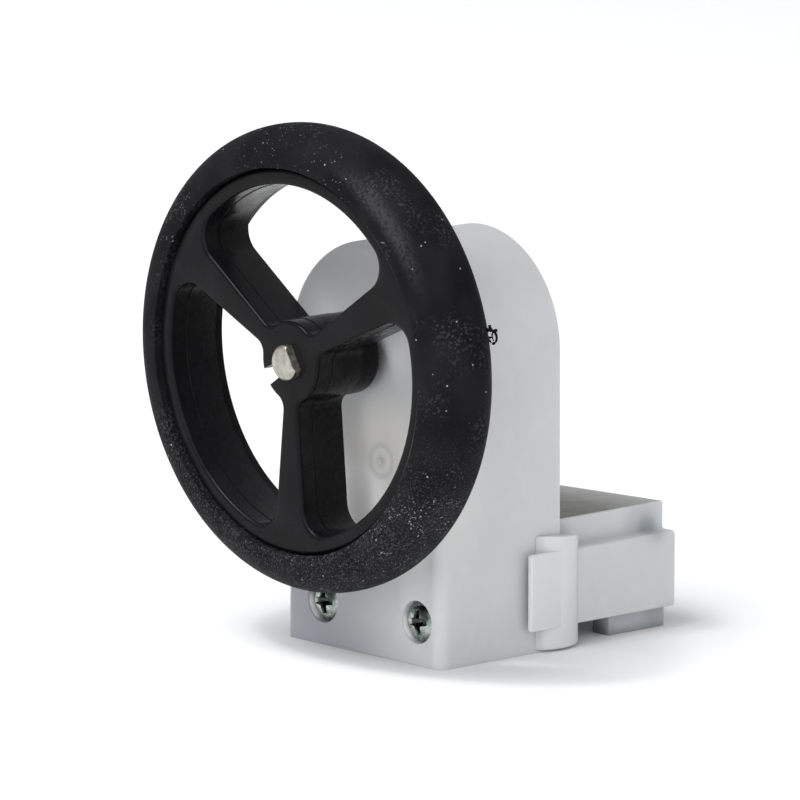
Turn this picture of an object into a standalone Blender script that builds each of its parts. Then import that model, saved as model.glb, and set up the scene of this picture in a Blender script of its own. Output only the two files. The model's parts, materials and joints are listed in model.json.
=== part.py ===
"""Motorized wheel drive unit: a three-spoke wheel on a D-shaft, in front of an arch-topped gearbox
tower, with a stepped connector block behind the tower's base.

Run with: blender --background --python part.py

World axes: +Z up, +Y backwards (from the wheel towards the connector block), +X to the right.
The world origin is the middle of the tower's underside. The dimensions below are in millimetres,
with y counted from the tower's front plane; every solid hangs on one empty that moves that plane
to its place, and MM turns millimetres into metres where a mesh or a curve is made.
"""

import math

import bmesh
import bpy
from mathutils import Matrix, Vector

MM = 0.001
MERGE = 1e-7

# Driving dimensions, millimetres
FIT = 0.05                  # radial clearance of a running or press fit
REST = 0.1                  # gap between pieces that rest on each other
OVER = 1.0                  # how far a cutter runs past the face it cuts

AXIS_Z = 26.25              # height of the wheel's axis

TYRE_R = 20.0
TYRE_BORE_R = 16.5
TYRE_WIDTH = 7.05
TYRE_MIDDLE = -5.43         # y of the tyre's middle plane
TYRE_CROWN = 2.2            # exponent of the tyre's superellipse section
TYRE_RIB_HALF = 1.7         # half width of the rib that sits in the rim's groove
RIB_DEPTH = 0.4

WHEEL_FRONT = -8.4          # y of the rim's front plane
RIM_DEPTH = 6.05
RIM_R = 16.34
RIM_LIP_R = 15.06           # outer radius of the three windows
RIM_CHAMFER = 0.3
RIM_FLANK = 0.7             # width of the rim's lip before its groove
RIM_POCKET_R = 15.15        # the rim's inner wall behind the spokes
HUB_R = 3.5
HUB_LENGTH = 7.4
HUB_EDGE = 0.5
SPOKE_DEPTH = 5.1
SPOKE_HALF_HUB = 0.86
SPOKE_HALF_RIM = 1.8
SPOKE_RIM_RADIUS = 13.9     # where the spoke reaches SPOKE_HALF_RIM
SPOKE_RIM_FILLET = 2.2
SPOKE_HUB_FILLET = 1.2
WINDOW_EDGE = 0.25          # rounding of the windows' front edges
PARTING_DEPTH = 1.75        # parting line of the wheel, behind its front plane
PARTING_STEP = 0.06
NOTCH_MOUTH = 1.7
NOTCH_THROAT = 1.1
NOTCH_START = 0.9

SHAFT_R = 1.5
FLAT_DEPTH = 0.5
SHAFT_FRONT = -9.2
SHAFT_BACK = 12.2
FLAT_END = -1.0
SHAFT_CHAMFER = 0.2
CLIP_FRONT = 10.3
CLIP_BACK = 10.7
CLIP_GROOVE = 0.3           # depth of the circlip's groove
CLIP_WIDTH = 1.12
BUSH_R = 2.2
BUSH_FLANGE_R = 3.1
BUSH_FLANGE = 0.5
BUSH_SUNK = 0.6             # the front bush sits this far back, behind a lip of the tower's front
BUSH_MOUTH_R = 1.75
REAR_BUSH_FRONT = 10.9
REAR_BUSH_BACK = 12.9

TOWER_HALF_BASE = 9.85
TOWER_HALF_TOP = 9.7        # also the arch's radius
ARCH_Z = 25.75
TOWER_DEPTH = 13.95
TOWER_WALL = 1.2
TOWER_FLOOR = 1.2
TOWER_FRONT_WALL = 1.6
TOWER_EDGE = 1.2            # rounding of the front edges
TOWER_BACK_EDGE = 0.15
COVER_THICKNESS = 1.25
COVER_FRONT = TOWER_DEPTH - REST - COVER_THICKNESS
LEAD_WINDOW = 2.6           # half width of the leads' way out
LEAD_LOW = 3.2
LEAD_HIGH = 5.6

SCREW_XS = (-5.0, 6.8)      # the screws stand a little right of the wheel's axis
SCREW_Z = 3.75
SCREW_R = 1.0
SCREW_HEAD_R = 1.74
SCREW_HEAD_FRONT = 0.0
SCREW_SEAT = 1.1            # depth of the counterbore under the head
SCREW_TIP = 17.0
SCREW_POINT = 1.2
RECESS_REACH = 0.95
RECESS_HALF = 0.2
RECESS_DEPTH = 0.8
POST_R = 1.75

BLOCK_HALF = 8.45
BLOCK_FRONT = TOWER_DEPTH + REST
BLOCK_BACK = 27.25
BLOCK_BOTTOM = 1.94
BLOCK_TOP = 10.9            # along the right side; the top falls gently to the left
BLOCK_TOP_LEFT = 10.2
BLOCK_EDGE = 0.25
FLANGE_HALF = 10.0
FLANGE_TOP = 8.5
FOOT_INNER = 6.7
FOOT_OUTER = 8.8
FOOT_FRONT = 20.6
PILLAR_FRONT = 11.0
PILLAR_BACK = 15.95
PILLAR_PROUD = 10.75
PILLAR_BOTTOM = 0.2
PILLAR_TOP = 10.15
PILLAR_EDGE = 0.2
WING_FRONT = 9.5
WING_BACK = 12.4
WING_INNER = 10.4
WING_OUTER = 10.9
WING_BOTTOM = 2.15
WING_TOP = 8.8
WING_EDGE = 0.12
CAVITY_FRONT = 18.0         # the connector's cavity in the block
SOCKET_HALF = 7.1
SOCKET_BOTTOM = 3.2
SOCKET_TOP = 9.6
SOCKET_MIDDLE = (SOCKET_BOTTOM + SOCKET_TOP) / 2
CONNECTOR_FRONT = 19.4
CONNECTOR_BACK = 27.05
PLUG_HALF = 5.2             # the recess that takes the plug
PLUG_HALF_HEIGHT = 2.15
PLUG_FRONT = 22.6
CONTACT_X = 1.27
CONTACT_HALF = 0.32
CONTACT_FRONT = 18.7
CONTACT_BACK = 25.9
RETAINER_X = 7.5
RETAINER_Y = 25.2
RETAINER_R = 0.6
RETAINER_BOTTOM = 0.15

FINE_MODULE = 0.3           # pinion and output gear
PINION_TEETH = 9
OUTPUT_TEETH = 27
WORM_MODULE = 0.4           # single-start worm and its wheel
WORM_WHEEL_TEETH = 14
WORM_PITCH_R = 1.5
PRESSURE_ANGLE = math.radians(20)
ADDENDUM = 0.8              # of one module
DEDENDUM = 1.15
BACKLASH = 0.1
GEAR_SPAN = FINE_MODULE * (PINION_TEETH + OUTPUT_TEETH) / 2
AXLE_X = -3.0
AXLE_Z = AXIS_Z - math.sqrt(GEAR_SPAN ** 2 - AXLE_X ** 2)
AXLE_R = 0.6
AXLE_FRONT = 0.9
AXLE_BACK = 13.0
AXLE_BOSS_R = 1.5
AXLE_BOSS_BACK = 2.25       # of the boss on the tower's front wall
AXLE_BOSS_FRONT = 10.45     # of the boss on the rear cover
PINION_FRONT = 2.65
PINION_BACK = 5.1
OUTPUT_GEAR_FRONT = 2.9
OUTPUT_GEAR_BACK = 4.7
WORM_WHEEL_WIDTH = 2.4
COMPOUND_HUB_R = 1.3
COMPOUND_BACK = 10.1
WASHER_R = 1.25
WASHER_THICKNESS = 0.25

MOTOR_X = AXLE_X + WORM_WHEEL_TEETH * WORM_MODULE / 2 + WORM_PITCH_R
MOTOR_Y = 6.75
MOTOR_CENTRE = (MOTOR_X, MOTOR_Y)
MOTOR_R = 6.0               # half of the can's long side
MOTOR_FLAT = 5.0            # half of its short side
CAN_WALL = 0.5
CAP_BOTTOM = 5.8
CAP_FLOOR = 0.4
CAN_BOTTOM = 7.5
CAN_TOP = 18.3
MOTOR_BUSH_R = 1.4
MOTOR_BUSH_BOTTOM = 17.0
MOTOR_BUSH_PROUD = 0.6
MAGNET_INNER_R = 4.1
MAGNET_OUTER_R = 5.4
MAGNET_HALF_ANGLE = 46
MAGNET_BOTTOM = 9.0
MAGNET_TOP = 16.8
ROTOR_R = 0.5
ROTOR_BOTTOM = 6.5
ROTOR_TOP = 24.4
WORM_BOTTOM = 19.4
WORM_TOP = 24.2
WORM_LEVELS = 38
ARMATURE_BOTTOM = 9.8
ARMATURE_TOP = 15.6
POLE_R = 3.8
POLE_SHOE_R = 3.0
POLE_HALF_ANGLE = 42
POLE_ROOT = 1.45
WEB_HALF = 0.7
WINDING_INNER = 1.7
WINDING_OUTER = 2.5
WINDING_HALF = 1.4
WINDING_PROUD = 0.5
COMMUTATOR_R = 1.2
COMMUTATOR_BOTTOM = 7.9
COMMUTATOR_TOP = 9.2
BRUSH_OFFSET = 1.55
BRUSH_HALF_WIDTH = 0.6
BRUSH_HALF = 0.3
BRUSH_TOP = 9.0
TERMINAL_X = 1.9
TERMINAL_BOTTOM = 4.5
TERMINAL_HALF_WIDTH = 0.5
TERMINAL_HALF = 0.15
LEAD_R = 0.4

SIDES = ((-1, "left", 180), (1, "right", 0))    # sign of x, name, turn about an upright axis

for old in list(bpy.data.objects):
    bpy.data.objects.remove(old, do_unlink=True)

parts = bpy.data.collections.new("wheel_drive_unit")
cutters = bpy.data.collections.new("cutters")
bpy.context.scene.collection.children.link(parts)
bpy.context.scene.collection.children.link(cutters)


# Materials

def material(name, colour, roughness, metallic=0.0):
    made = bpy.data.materials.new(name)
    made.use_nodes = True
    shader = made.node_tree.nodes["Principled BSDF"]
    shader.inputs["Base Color"].default_value = (*colour, 1.0)
    shader.inputs["Roughness"].default_value = roughness
    shader.inputs["Metallic"].default_value = metallic
    return made


FINISHES = {
    "tyre_rubber": ((0.012, 0.012, 0.013), 0.75, 0.0),
    "black_plastic": ((0.018, 0.017, 0.020), 0.4, 0.0),
    "milky_plastic": ((0.62, 0.62, 0.62), 0.45, 0.0),
    "gear_plastic": ((0.80, 0.79, 0.74), 0.4, 0.0),
    "steel": ((0.55, 0.54, 0.52), 0.3, 1.0),
    "zinc": ((0.50, 0.53, 0.50), 0.35, 1.0),
    "brass": ((0.72, 0.55, 0.25), 0.3, 1.0),
    "copper": ((0.75, 0.33, 0.16), 0.35, 1.0),
    "magnet": ((0.06, 0.06, 0.065), 0.6, 0.0),
    "red_insulation": ((0.50, 0.03, 0.02), 0.5, 0.0),
    "dark_plastic": ((0.03, 0.03, 0.035), 0.5, 0.0),
}


# Making and combining solids

def place(mesh, name, collection, matrix=Matrix.Identity(4)):
    made = bpy.data.objects.new(name, mesh)
    collection.objects.link(made)
    made.matrix_world = matrix
    return made


def mesh_object(name, build, collection=cutters):
    """An object from a bmesh that build(bm) fills in millimetres."""
    bm = bmesh.new()
    build(bm)
    bmesh.ops.scale(bm, vec=(MM, MM, MM), verts=bm.verts)
    bmesh.ops.recalc_face_normals(bm, faces=bm.faces)
    mesh = bpy.data.meshes.new(name)
    bm.to_mesh(mesh)
    bm.free()
    return place(mesh, name, collection)


def box(name, low, high, edge=0.0, segments=2, collection=cutters):
    """An axis-aligned box, its edges rounded by edge."""
    size = Vector(high) - Vector(low)
    centre = (Vector(high) + Vector(low)) / 2

    def build(bm):
        bmesh.ops.create_cube(bm, size=1.0)
        bmesh.ops.scale(bm, vec=size, verts=bm.verts)
        bmesh.ops.translate(bm, vec=centre, verts=bm.verts)
        if edge:
            bmesh.ops.bevel(bm, geom=bm.edges[:], offset=edge, segments=segments,
                            profile=0.5, affect="EDGES")
    return mesh_object(name, build, collection)


AXES = {
    "X": Matrix.Rotation(math.radians(90), 4, "Y"),
    "Y": Matrix.Rotation(math.radians(-90), 4, "X"),
    "Z": Matrix.Identity(4),
}


def cylinder(name, axis, start, end, radius, centre, sides=32, collection=cutters, radius_end=None):
    """A cylinder or cone along axis, from start to end, through centre on the other two axes."""
    def build(bm):
        bmesh.ops.create_cone(bm, cap_ends=True, segments=sides, radius1=radius,
                              radius2=radius if radius_end is None else radius_end,
                              depth=end - start)
        bmesh.ops.transform(bm, matrix=AXES[axis], verts=bm.verts)
        middle = Vector(centre)
        middle["XYZ".index(axis)] = (start + end) / 2
        bmesh.ops.translate(bm, vec=middle, verts=bm.verts)
    return mesh_object(name, build, collection)


def turned(name, profile, centre, steps=32, axis="Y", collection=parts):
    """A solid of revolution. profile is (radius, height along the axis), down its outer side."""
    mesh = bpy.data.meshes.new(name)
    points = [(r * MM, 0.0, h * MM) for r, h in profile]
    ends_on_axis = profile[0][0] == 0.0
    edges = [(i, i + 1) for i in range(len(points) - 1)]
    if not ends_on_axis:
        edges.append((len(points) - 1, 0))
    mesh.from_pydata(points, edges, [])
    made = place(mesh, name, collection, Matrix.Translation(Vector(centre) * MM) @ AXES[axis])
    screw = made.modifiers.new("turn", "SCREW")
    screw.steps = steps
    screw.render_steps = steps
    screw.use_merge_vertices = True
    screw.merge_threshold = MERGE
    return made


def prism(name, outlines, start, end, axis="Y", collection=cutters):
    """Outlines in the plane across axis, extruded from start to end. Inner outlines are holes.

    Outline points are (x, z) for axis Y, and (x, y) for axis Z.
    """
    curve = bpy.data.curves.new(name, "CURVE")
    curve.dimensions = "2D"
    curve.fill_mode = "BOTH"
    curve.extrude = (end - start) / 2 * MM
    for outline in outlines:
        spline = curve.splines.new("POLY")
        spline.points.add(len(outline) - 1)
        for point, (u, v) in zip(spline.points, outline):
            point.co = (u * MM, v * MM, 0.0, 1.0)
        spline.use_cyclic_u = True
    middle = (start + end) / 2 * MM
    if axis == "Y":
        matrix = Matrix.Translation((0, middle, 0)) @ Matrix.Rotation(math.radians(90), 4, "X")
    else:
        matrix = Matrix.Translation((0, 0, middle))
    return as_mesh(place(curve, name, collection, matrix))


def as_mesh(source):
    """Turns a curve object into a mesh object with its caps welded and its place in its mesh."""
    bpy.context.view_layer.update()
    graph = bpy.context.evaluated_depsgraph_get()
    mesh = bpy.data.meshes.new_from_object(source.evaluated_get(graph))
    bm = bmesh.new()
    bm.from_mesh(mesh)
    bm.transform(source.matrix_world)
    bmesh.ops.remove_doubles(bm, verts=bm.verts, dist=MERGE)
    bmesh.ops.recalc_face_normals(bm, faces=bm.faces)
    bm.to_mesh(mesh)
    bm.free()
    name = source.name
    collection = source.users_collection[0]
    bpy.data.objects.remove(source, do_unlink=True)
    return place(mesh, name, collection)


def combine(target, operation, *others):
    """Adds a Boolean to target for each other solid, which becomes a hidden helper."""
    for other in others:
        if other.name not in cutters.objects:
            parts.objects.unlink(other)
            cutters.objects.link(other)
        other.hide_render = True
        other.display_type = "WIRE"
        step = target.modifiers.new(operation.lower(), "BOOLEAN")
        step.operation = operation
        step.solver = "EXACT"
        step.object = other
    return target


def cut(target, *others):
    return combine(target, "DIFFERENCE", *others)


def join(target, *others):
    return combine(target, "UNION", *others)


def finish(made, finish_name):
    """Moves a solid into the parts collection with its material."""
    if made.name in cutters.objects:
        cutters.objects.unlink(made)
        parts.objects.link(made)
    if finish_name not in bpy.data.materials:
        material(finish_name, *FINISHES[finish_name])
    made.data.materials.clear()
    made.data.materials.append(bpy.data.materials[finish_name])
    made.data.shade_smooth()
    made.data.set_sharp_from_angle(angle=math.radians(35))
    return made


def origin_to(made, point):
    """Sets the object's origin, in millimetres, without moving its shape."""
    target = Matrix.Translation(Vector(point) * MM)
    made.data.transform(target.inverted() @ made.matrix_world)
    made.matrix_world = target
    return made


# Outlines

def arc(centre, radius, start, end, steps):
    """Points from angle start to angle end, in degrees, both included."""
    points = []
    for i in range(steps + 1):
        a = math.radians(start + (end - start) * i / steps)
        points.append((centre[0] + radius * math.cos(a), centre[1] + radius * math.sin(a)))
    return points


def circle(centre, radius, steps):
    return arc(centre, radius, 0, 360, steps)[:-1]


def rotate(points, degrees):
    c, s = math.cos(math.radians(degrees)), math.sin(math.radians(degrees))
    return [(x * c - y * s, x * s + y * c) for x, y in points]


def shift(points, offset):
    return [(x + offset[0], y + offset[1]) for x, y in points]


def tower_outline(inset=0.0, floor=0.0, steps=32):
    """The tower's front view: straight sides with draft under a round arch."""
    slope = (TOWER_HALF_BASE - TOWER_HALF_TOP) / ARCH_Z
    base = TOWER_HALF_BASE - slope * floor - inset
    return [(-base, floor), (base, floor)] + arc((0, ARCH_Z), TOWER_HALF_TOP - inset, 0, 180, steps)


def flat_sided(radius, half, steps=10):
    """A circle cut by two flats, as a small motor's can has."""
    limit = math.degrees(math.asin(half / radius))
    return (arc((0, 0), radius, -limit, limit, steps)
            + arc((0, 0), radius, 180 - limit, 180 + limit, steps))


def d_outline(radius, flat, steps=24):
    """A D section whose flat, at distance flat from the centre, faces +60 degrees."""
    half = math.degrees(math.acos(flat / radius))
    return arc((0, 0), radius, 30 + half, 390 - half, steps)


def involute(angle):
    return math.tan(angle) - angle


def gear_outline(teeth, module, phase_degrees):
    """A spur gear's outline with involute flanks; phase_degrees is the middle of one tooth."""
    pitch_r = teeth * module / 2
    base_r = pitch_r * math.cos(PRESSURE_ANGLE)
    tip_r = pitch_r + ADDENDUM * module
    root_r = pitch_r - DEDENDUM * module
    half = (math.pi * module / 2 - BACKLASH) / (2 * pitch_r)

    def half_angle(radius):
        contact = math.acos(min(1.0, base_r / radius))
        return half + involute(PRESSURE_ANGLE) - involute(contact)

    start_r = max(root_r, base_r)
    radii = [start_r, (start_r + tip_r) / 2, tip_r]
    flank = [(root_r, half_angle(start_r))] if root_r < base_r else []
    flank += [(r, half_angle(r)) for r in radii]
    points = []
    for tooth in range(teeth):
        middle = math.radians(phase_degrees) + 2 * math.pi * tooth / teeth
        for r, a in flank:
            points.append((r * math.cos(middle - a), r * math.sin(middle - a)))
        for r, a in reversed(flank):
            points.append((r * math.cos(middle + a), r * math.sin(middle + a)))
    return points


def window_outline(grow=0.0):
    """One of the wheel's windows, centred on +Z, bounded by the rim, two spokes and the hub.

    grow widens the window on every side.
    """
    rim_r = RIM_LIP_R + grow
    hub_r = HUB_R - grow
    rim_fillet = SPOKE_RIM_FILLET
    hub_fillet = SPOKE_HUB_FILLET + grow
    run = SPOKE_RIM_RADIUS - HUB_R
    flare = math.atan2(SPOKE_HALF_RIM - SPOKE_HALF_HUB, run)
    # The right-hand spoke points 60 degrees from +Z. Its window side is a line that flares.
    along = Vector((math.sin(math.radians(60) - flare), math.cos(math.radians(60) - flare)))
    normal = Vector((-along.y, along.x))
    spoke = Vector((math.sin(math.radians(60)), math.cos(math.radians(60))))
    across = Vector((-spoke.y, spoke.x))
    start = spoke * HUB_R + across * (SPOKE_HALF_HUB - grow)

    def fillet(distance, reach):
        """Centre of a fillet that is distance from the spoke's side and reach from the axis."""
        base = start + normal * distance
        b = base.dot(along)
        t = -b + math.sqrt(b * b - base.dot(base) + reach * reach)
        return base + along * t

    rim_centre = fillet(rim_fillet, rim_r - rim_fillet)
    hub_centre = fillet(hub_fillet, hub_r + hub_fillet)

    def heading(vector):
        return math.degrees(math.atan2(vector.y, vector.x))

    hub_touch = heading(-hub_centre)
    spoke_touch = heading(-normal)
    rim_touch = heading(rim_centre)
    whole_turn = 360 if spoke_touch < hub_touch else 0
    right = arc(hub_centre, hub_fillet, hub_touch, spoke_touch + whole_turn, 4)
    right += arc(rim_centre, rim_fillet, spoke_touch, rim_touch, 5)
    rim_arc = arc((0, 0), rim_r, rim_touch, 180 - rim_touch, 12)[1:-1]
    left = [(-x, z) for x, z in reversed(right)]
    hub_heading = heading(hub_centre)
    hub_arc = arc((0, 0), hub_r, 180 - hub_heading, hub_heading, 5)[1:-1]
    return right + rim_arc + left + hub_arc


def pole_outline():
    """The armature's three-pole lamination."""
    points = []
    for pole in range(3):
        web = [(POLE_ROOT, -WEB_HALF), (POLE_SHOE_R - 0.05, -WEB_HALF)]
        shoe = arc((0, 0), POLE_SHOE_R, -POLE_HALF_ANGLE, -POLE_HALF_ANGLE, 1)[:1]
        face = arc((0, 0), POLE_R, -POLE_HALF_ANGLE, POLE_HALF_ANGLE, 6)
        half = web + shoe
        points += rotate(half + face + [(x, -y) for x, y in reversed(half)], 120 * pole)
    return points


def smooth_route(points, steps=6):
    """A Catmull-Rom curve through points, as a list of positions."""
    padded = [points[0]] + points + [points[-1]]
    route = []
    for i in range(len(points) - 1):
        a, b, c, d = (Vector(p) for p in padded[i:i + 4])
        for k in range(steps):
            t = k / steps
            route.append(0.5 * (2 * b + (c - a) * t + (2 * a - 5 * b + 4 * c - d) * t ** 2
                                + (3 * b - a - 3 * c + d) * t ** 3))
    return route + [Vector(points[-1])]


def round_edges(made, offset, segments, chosen):
    """Rounds the edges of a made mesh for which chosen(first, second) is true, in millimetres."""
    bm = bmesh.new()
    bm.from_mesh(made.data)
    bmesh.ops.dissolve_limit(bm, angle_limit=math.radians(1), verts=bm.verts, edges=bm.edges)
    edges = [e for e in bm.edges if chosen(e.verts[0].co / MM, e.verts[1].co / MM)]
    bmesh.ops.bevel(bm, geom=edges, offset=offset * MM, segments=segments, profile=0.5,
                    affect="EDGES")
    bmesh.ops.triangulate(bm, faces=[f for f in bm.faces if len(f.verts) > 4])
    bm.to_mesh(made.data)
    bm.free()
    return made


# The wheel, its tyre and its shaft

def tyre():
    half = TYRE_WIDTH / 2
    shoulder = TYRE_BORE_R + 0.08
    rib_r = TYRE_BORE_R - RIB_DEPTH
    rib = WHEEL_FRONT + RIM_DEPTH / 2 - TYRE_MIDDLE
    ramp = 0.2
    steps = 12
    crown = []
    for i in range(steps + 1):
        s = math.cos(math.pi * i / steps)
        rise = (1 - abs(s) ** TYRE_CROWN) ** (1 / TYRE_CROWN)
        crown.append((shoulder + (TYRE_R - shoulder) * rise, s * half))
    bore = [(TYRE_BORE_R, -half), (TYRE_BORE_R, rib - TYRE_RIB_HALF - ramp),
            (rib_r, rib - TYRE_RIB_HALF), (rib_r, rib + TYRE_RIB_HALF),
            (TYRE_BORE_R, rib + TYRE_RIB_HALF + ramp), (TYRE_BORE_R, half)]
    return finish(turned("tyre", crown + bore, (0, TYRE_MIDDLE, AXIS_Z), 56), "tyre_rubber")


def window_cutter(name, degrees):
    """A loft of the window's outline: rounded front edge, parting line, straight back."""
    layers = [(WHEEL_FRONT - OVER, WINDOW_EDGE), (WHEEL_FRONT, WINDOW_EDGE),
              (WHEEL_FRONT + 0.3 * WINDOW_EDGE, 0.3 * WINDOW_EDGE), (WHEEL_FRONT + WINDOW_EDGE, 0.0),
              (WHEEL_FRONT + PARTING_DEPTH, 0.0),
              (WHEEL_FRONT + PARTING_DEPTH + PARTING_STEP, -PARTING_STEP),
              (WHEEL_FRONT + RIM_DEPTH + OVER, -PARTING_STEP)]

    def build(bm):
        rings = []
        for y, grow in layers:
            outline = shift(rotate(window_outline(grow), degrees), (0, AXIS_Z))
            rings.append([bm.verts.new((x, y, z)) for x, z in outline])
        for near, far in zip(rings, rings[1:]):
            for i in range(len(near)):
                j = (i + 1) % len(near)
                bm.faces.new((near[i], near[j], far[j], far[i]))
        bm.faces.new(rings[0])
        bm.faces.new(rings[-1])
    return mesh_object(name, build)


def wheel():
    back = RIM_DEPTH
    seat_r = RIM_R - RIB_DEPTH
    ramp = 0.2
    profile = [(0, HUB_LENGTH), (HUB_R - HUB_EDGE, HUB_LENGTH),
               (HUB_R - 0.3 * HUB_EDGE, HUB_LENGTH - 0.3 * HUB_EDGE), (HUB_R, HUB_LENGTH - HUB_EDGE),
               (HUB_R, SPOKE_DEPTH), (RIM_POCKET_R, SPOKE_DEPTH), (RIM_POCKET_R, back),
               (RIM_R - RIM_CHAMFER, back), (RIM_R, back - RIM_CHAMFER),
               (RIM_R, back - RIM_FLANK), (seat_r, back - RIM_FLANK - ramp),
               (seat_r, RIM_FLANK + ramp), (RIM_R, RIM_FLANK),
               (RIM_R, RIM_CHAMFER), (RIM_R - RIM_CHAMFER, 0), (0, 0)]
    blank = turned("wheel", profile, (0, WHEEL_FRONT, AXIS_Z), 56)
    windows = [window_cutter(f"window_{i}", 120 * i) for i in range(3)]
    ends = (WHEEL_FRONT - OVER, WHEEL_FRONT + HUB_LENGTH + OVER)
    d_bore = d_outline(SHAFT_R + FIT, SHAFT_R - FLAT_DEPTH + FIT)
    bore = prism("wheel_bore", [shift(d_bore, (0, AXIS_Z))], *ends)
    notch_end = HUB_R + 0.8
    slot = [(NOTCH_START, -NOTCH_THROAT / 2), (notch_end, -NOTCH_MOUTH / 2),
            (notch_end, NOTCH_MOUTH / 2), (NOTCH_START, NOTCH_THROAT / 2)]
    notch = prism("hub_notch", [shift(rotate(slot, 210), (0, AXIS_Z))], *ends)
    return finish(cut(blank, *windows, bore, notch), "black_plastic")


def output_shaft():
    groove_r = SHAFT_R - CLIP_GROOVE
    edge_r = SHAFT_R - SHAFT_CHAMFER
    profile = [(0, SHAFT_BACK), (edge_r, SHAFT_BACK), (SHAFT_R, SHAFT_BACK - SHAFT_CHAMFER),
               (SHAFT_R, CLIP_BACK + FIT), (groove_r, CLIP_BACK + FIT),
               (groove_r, CLIP_FRONT - FIT), (SHAFT_R, CLIP_FRONT - FIT),
               (SHAFT_R, SHAFT_FRONT + SHAFT_CHAMFER), (edge_r, SHAFT_FRONT), (0, SHAFT_FRONT)]
    shaft = turned("output_shaft", profile, (0, 0, AXIS_Z), 32)
    flat = SHAFT_R - FLAT_DEPTH
    beyond = flat + 2
    block = [(flat, -2), (beyond, -2), (beyond, 2), (flat, 2)]
    outline = shift(rotate(block, 30), (0, AXIS_Z))
    flat_cut = prism("shaft_flat", [outline], SHAFT_FRONT - OVER, FLAT_END)
    return finish(cut(shaft, flat_cut), "steel")


def output_circlip():
    """A snap ring with its gap at the bottom."""
    inner_r = SHAFT_R - CLIP_GROOVE + 0.08
    inner = arc((0, 0), inner_r, -60, 240, 18)
    outer = arc((0, 0), inner_r + CLIP_WIDTH, 240, -60, 18)
    clip = prism("output_circlip", [shift(inner + outer, (0, AXIS_Z))], CLIP_FRONT, CLIP_BACK)
    return finish(origin_to(clip, (0, CLIP_FRONT, AXIS_Z)), "steel")


def output_gear():
    towards_axle = math.degrees(math.atan2(AXLE_Z - AXIS_Z, AXLE_X))
    outline = shift(gear_outline(OUTPUT_TEETH, FINE_MODULE, towards_axle), (0, AXIS_Z))
    bore = circle((0, AXIS_Z), SHAFT_R + FIT, 32)
    gear = prism("output_gear", [outline, bore], OUTPUT_GEAR_FRONT, OUTPUT_GEAR_BACK)
    return finish(origin_to(gear, (0, OUTPUT_GEAR_FRONT, AXIS_Z)), "gear_plastic")


def ring(name, axis, centre, inner, outer, start, end, finish_name, steps=32):
    """A plain bush or washer."""
    profile = [(outer, end), (outer, start), (inner, start), (inner, end)]
    return finish(turned(name, profile, centre, steps, axis), finish_name)


def output_bushes():
    inner = SHAFT_R + FIT
    flange_front = TOWER_FRONT_WALL + REST
    flange_back = flange_front + BUSH_FLANGE
    profile = [(BUSH_FLANGE_R, flange_back), (BUSH_FLANGE_R, flange_front), (BUSH_R, flange_front),
               (BUSH_R, BUSH_SUNK), (inner, BUSH_SUNK), (inner, flange_back)]
    finish(turned("output_bush_front", profile, (0, 0, AXIS_Z), 32), "brass")
    ring("output_bush_rear", "Y", (0, 0, AXIS_Z), inner, BUSH_R, REAR_BUSH_FRONT, REAR_BUSH_BACK,
         "brass")


# The gearbox tower

def gearbox_shell():
    shell = prism("gearbox_shell", [tower_outline()], 0, TOWER_DEPTH)

    def edge_at(y):
        def chosen(a, b):
            on_plane = abs(a.y - y) < 0.01 and abs(b.y - y) < 0.01
            return on_plane and max(a.z, b.z) > 0.01
        return chosen

    round_edges(shell, TOWER_EDGE, 4, edge_at(0))
    round_edges(shell, TOWER_BACK_EDGE, 1, edge_at(TOWER_DEPTH))
    inside = tower_outline(TOWER_WALL, TOWER_FLOOR)
    cavity = prism("shell_cavity", [inside], TOWER_FRONT_WALL, TOWER_DEPTH + OVER)
    axle = (AXLE_X, 0, AXLE_Z)
    boss = cylinder("axle_boss", "Y", TOWER_FRONT_WALL - 0.2, AXLE_BOSS_BACK, AXLE_BOSS_R, axle, 24)
    holes = [cylinder("bush_mouth", "Y", -OVER, BUSH_SUNK, BUSH_MOUTH_R, (0, 0, AXIS_Z)),
             cylinder("bush_hole", "Y", BUSH_SUNK - FIT, TOWER_FRONT_WALL + OVER, BUSH_R + FIT,
                      (0, 0, AXIS_Z)),
             cylinder("axle_hole", "Y", AXLE_FRONT - REST, AXLE_BOSS_BACK + OVER, AXLE_R + FIT, axle,
                      20)]
    for x in SCREW_XS:
        centre = (x, 0, SCREW_Z)
        holes.append(cylinder("counterbore", "Y", -OVER, SCREW_SEAT, SCREW_HEAD_R + REST, centre))
        holes.append(cylinder("screw_hole", "Y", 0, TOWER_FRONT_WALL + OVER, SCREW_R + REST, centre,
                              20))
    cut(shell, cavity)
    join(shell, boss)
    return finish(cut(shell, *holes), "milky_plastic")


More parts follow.
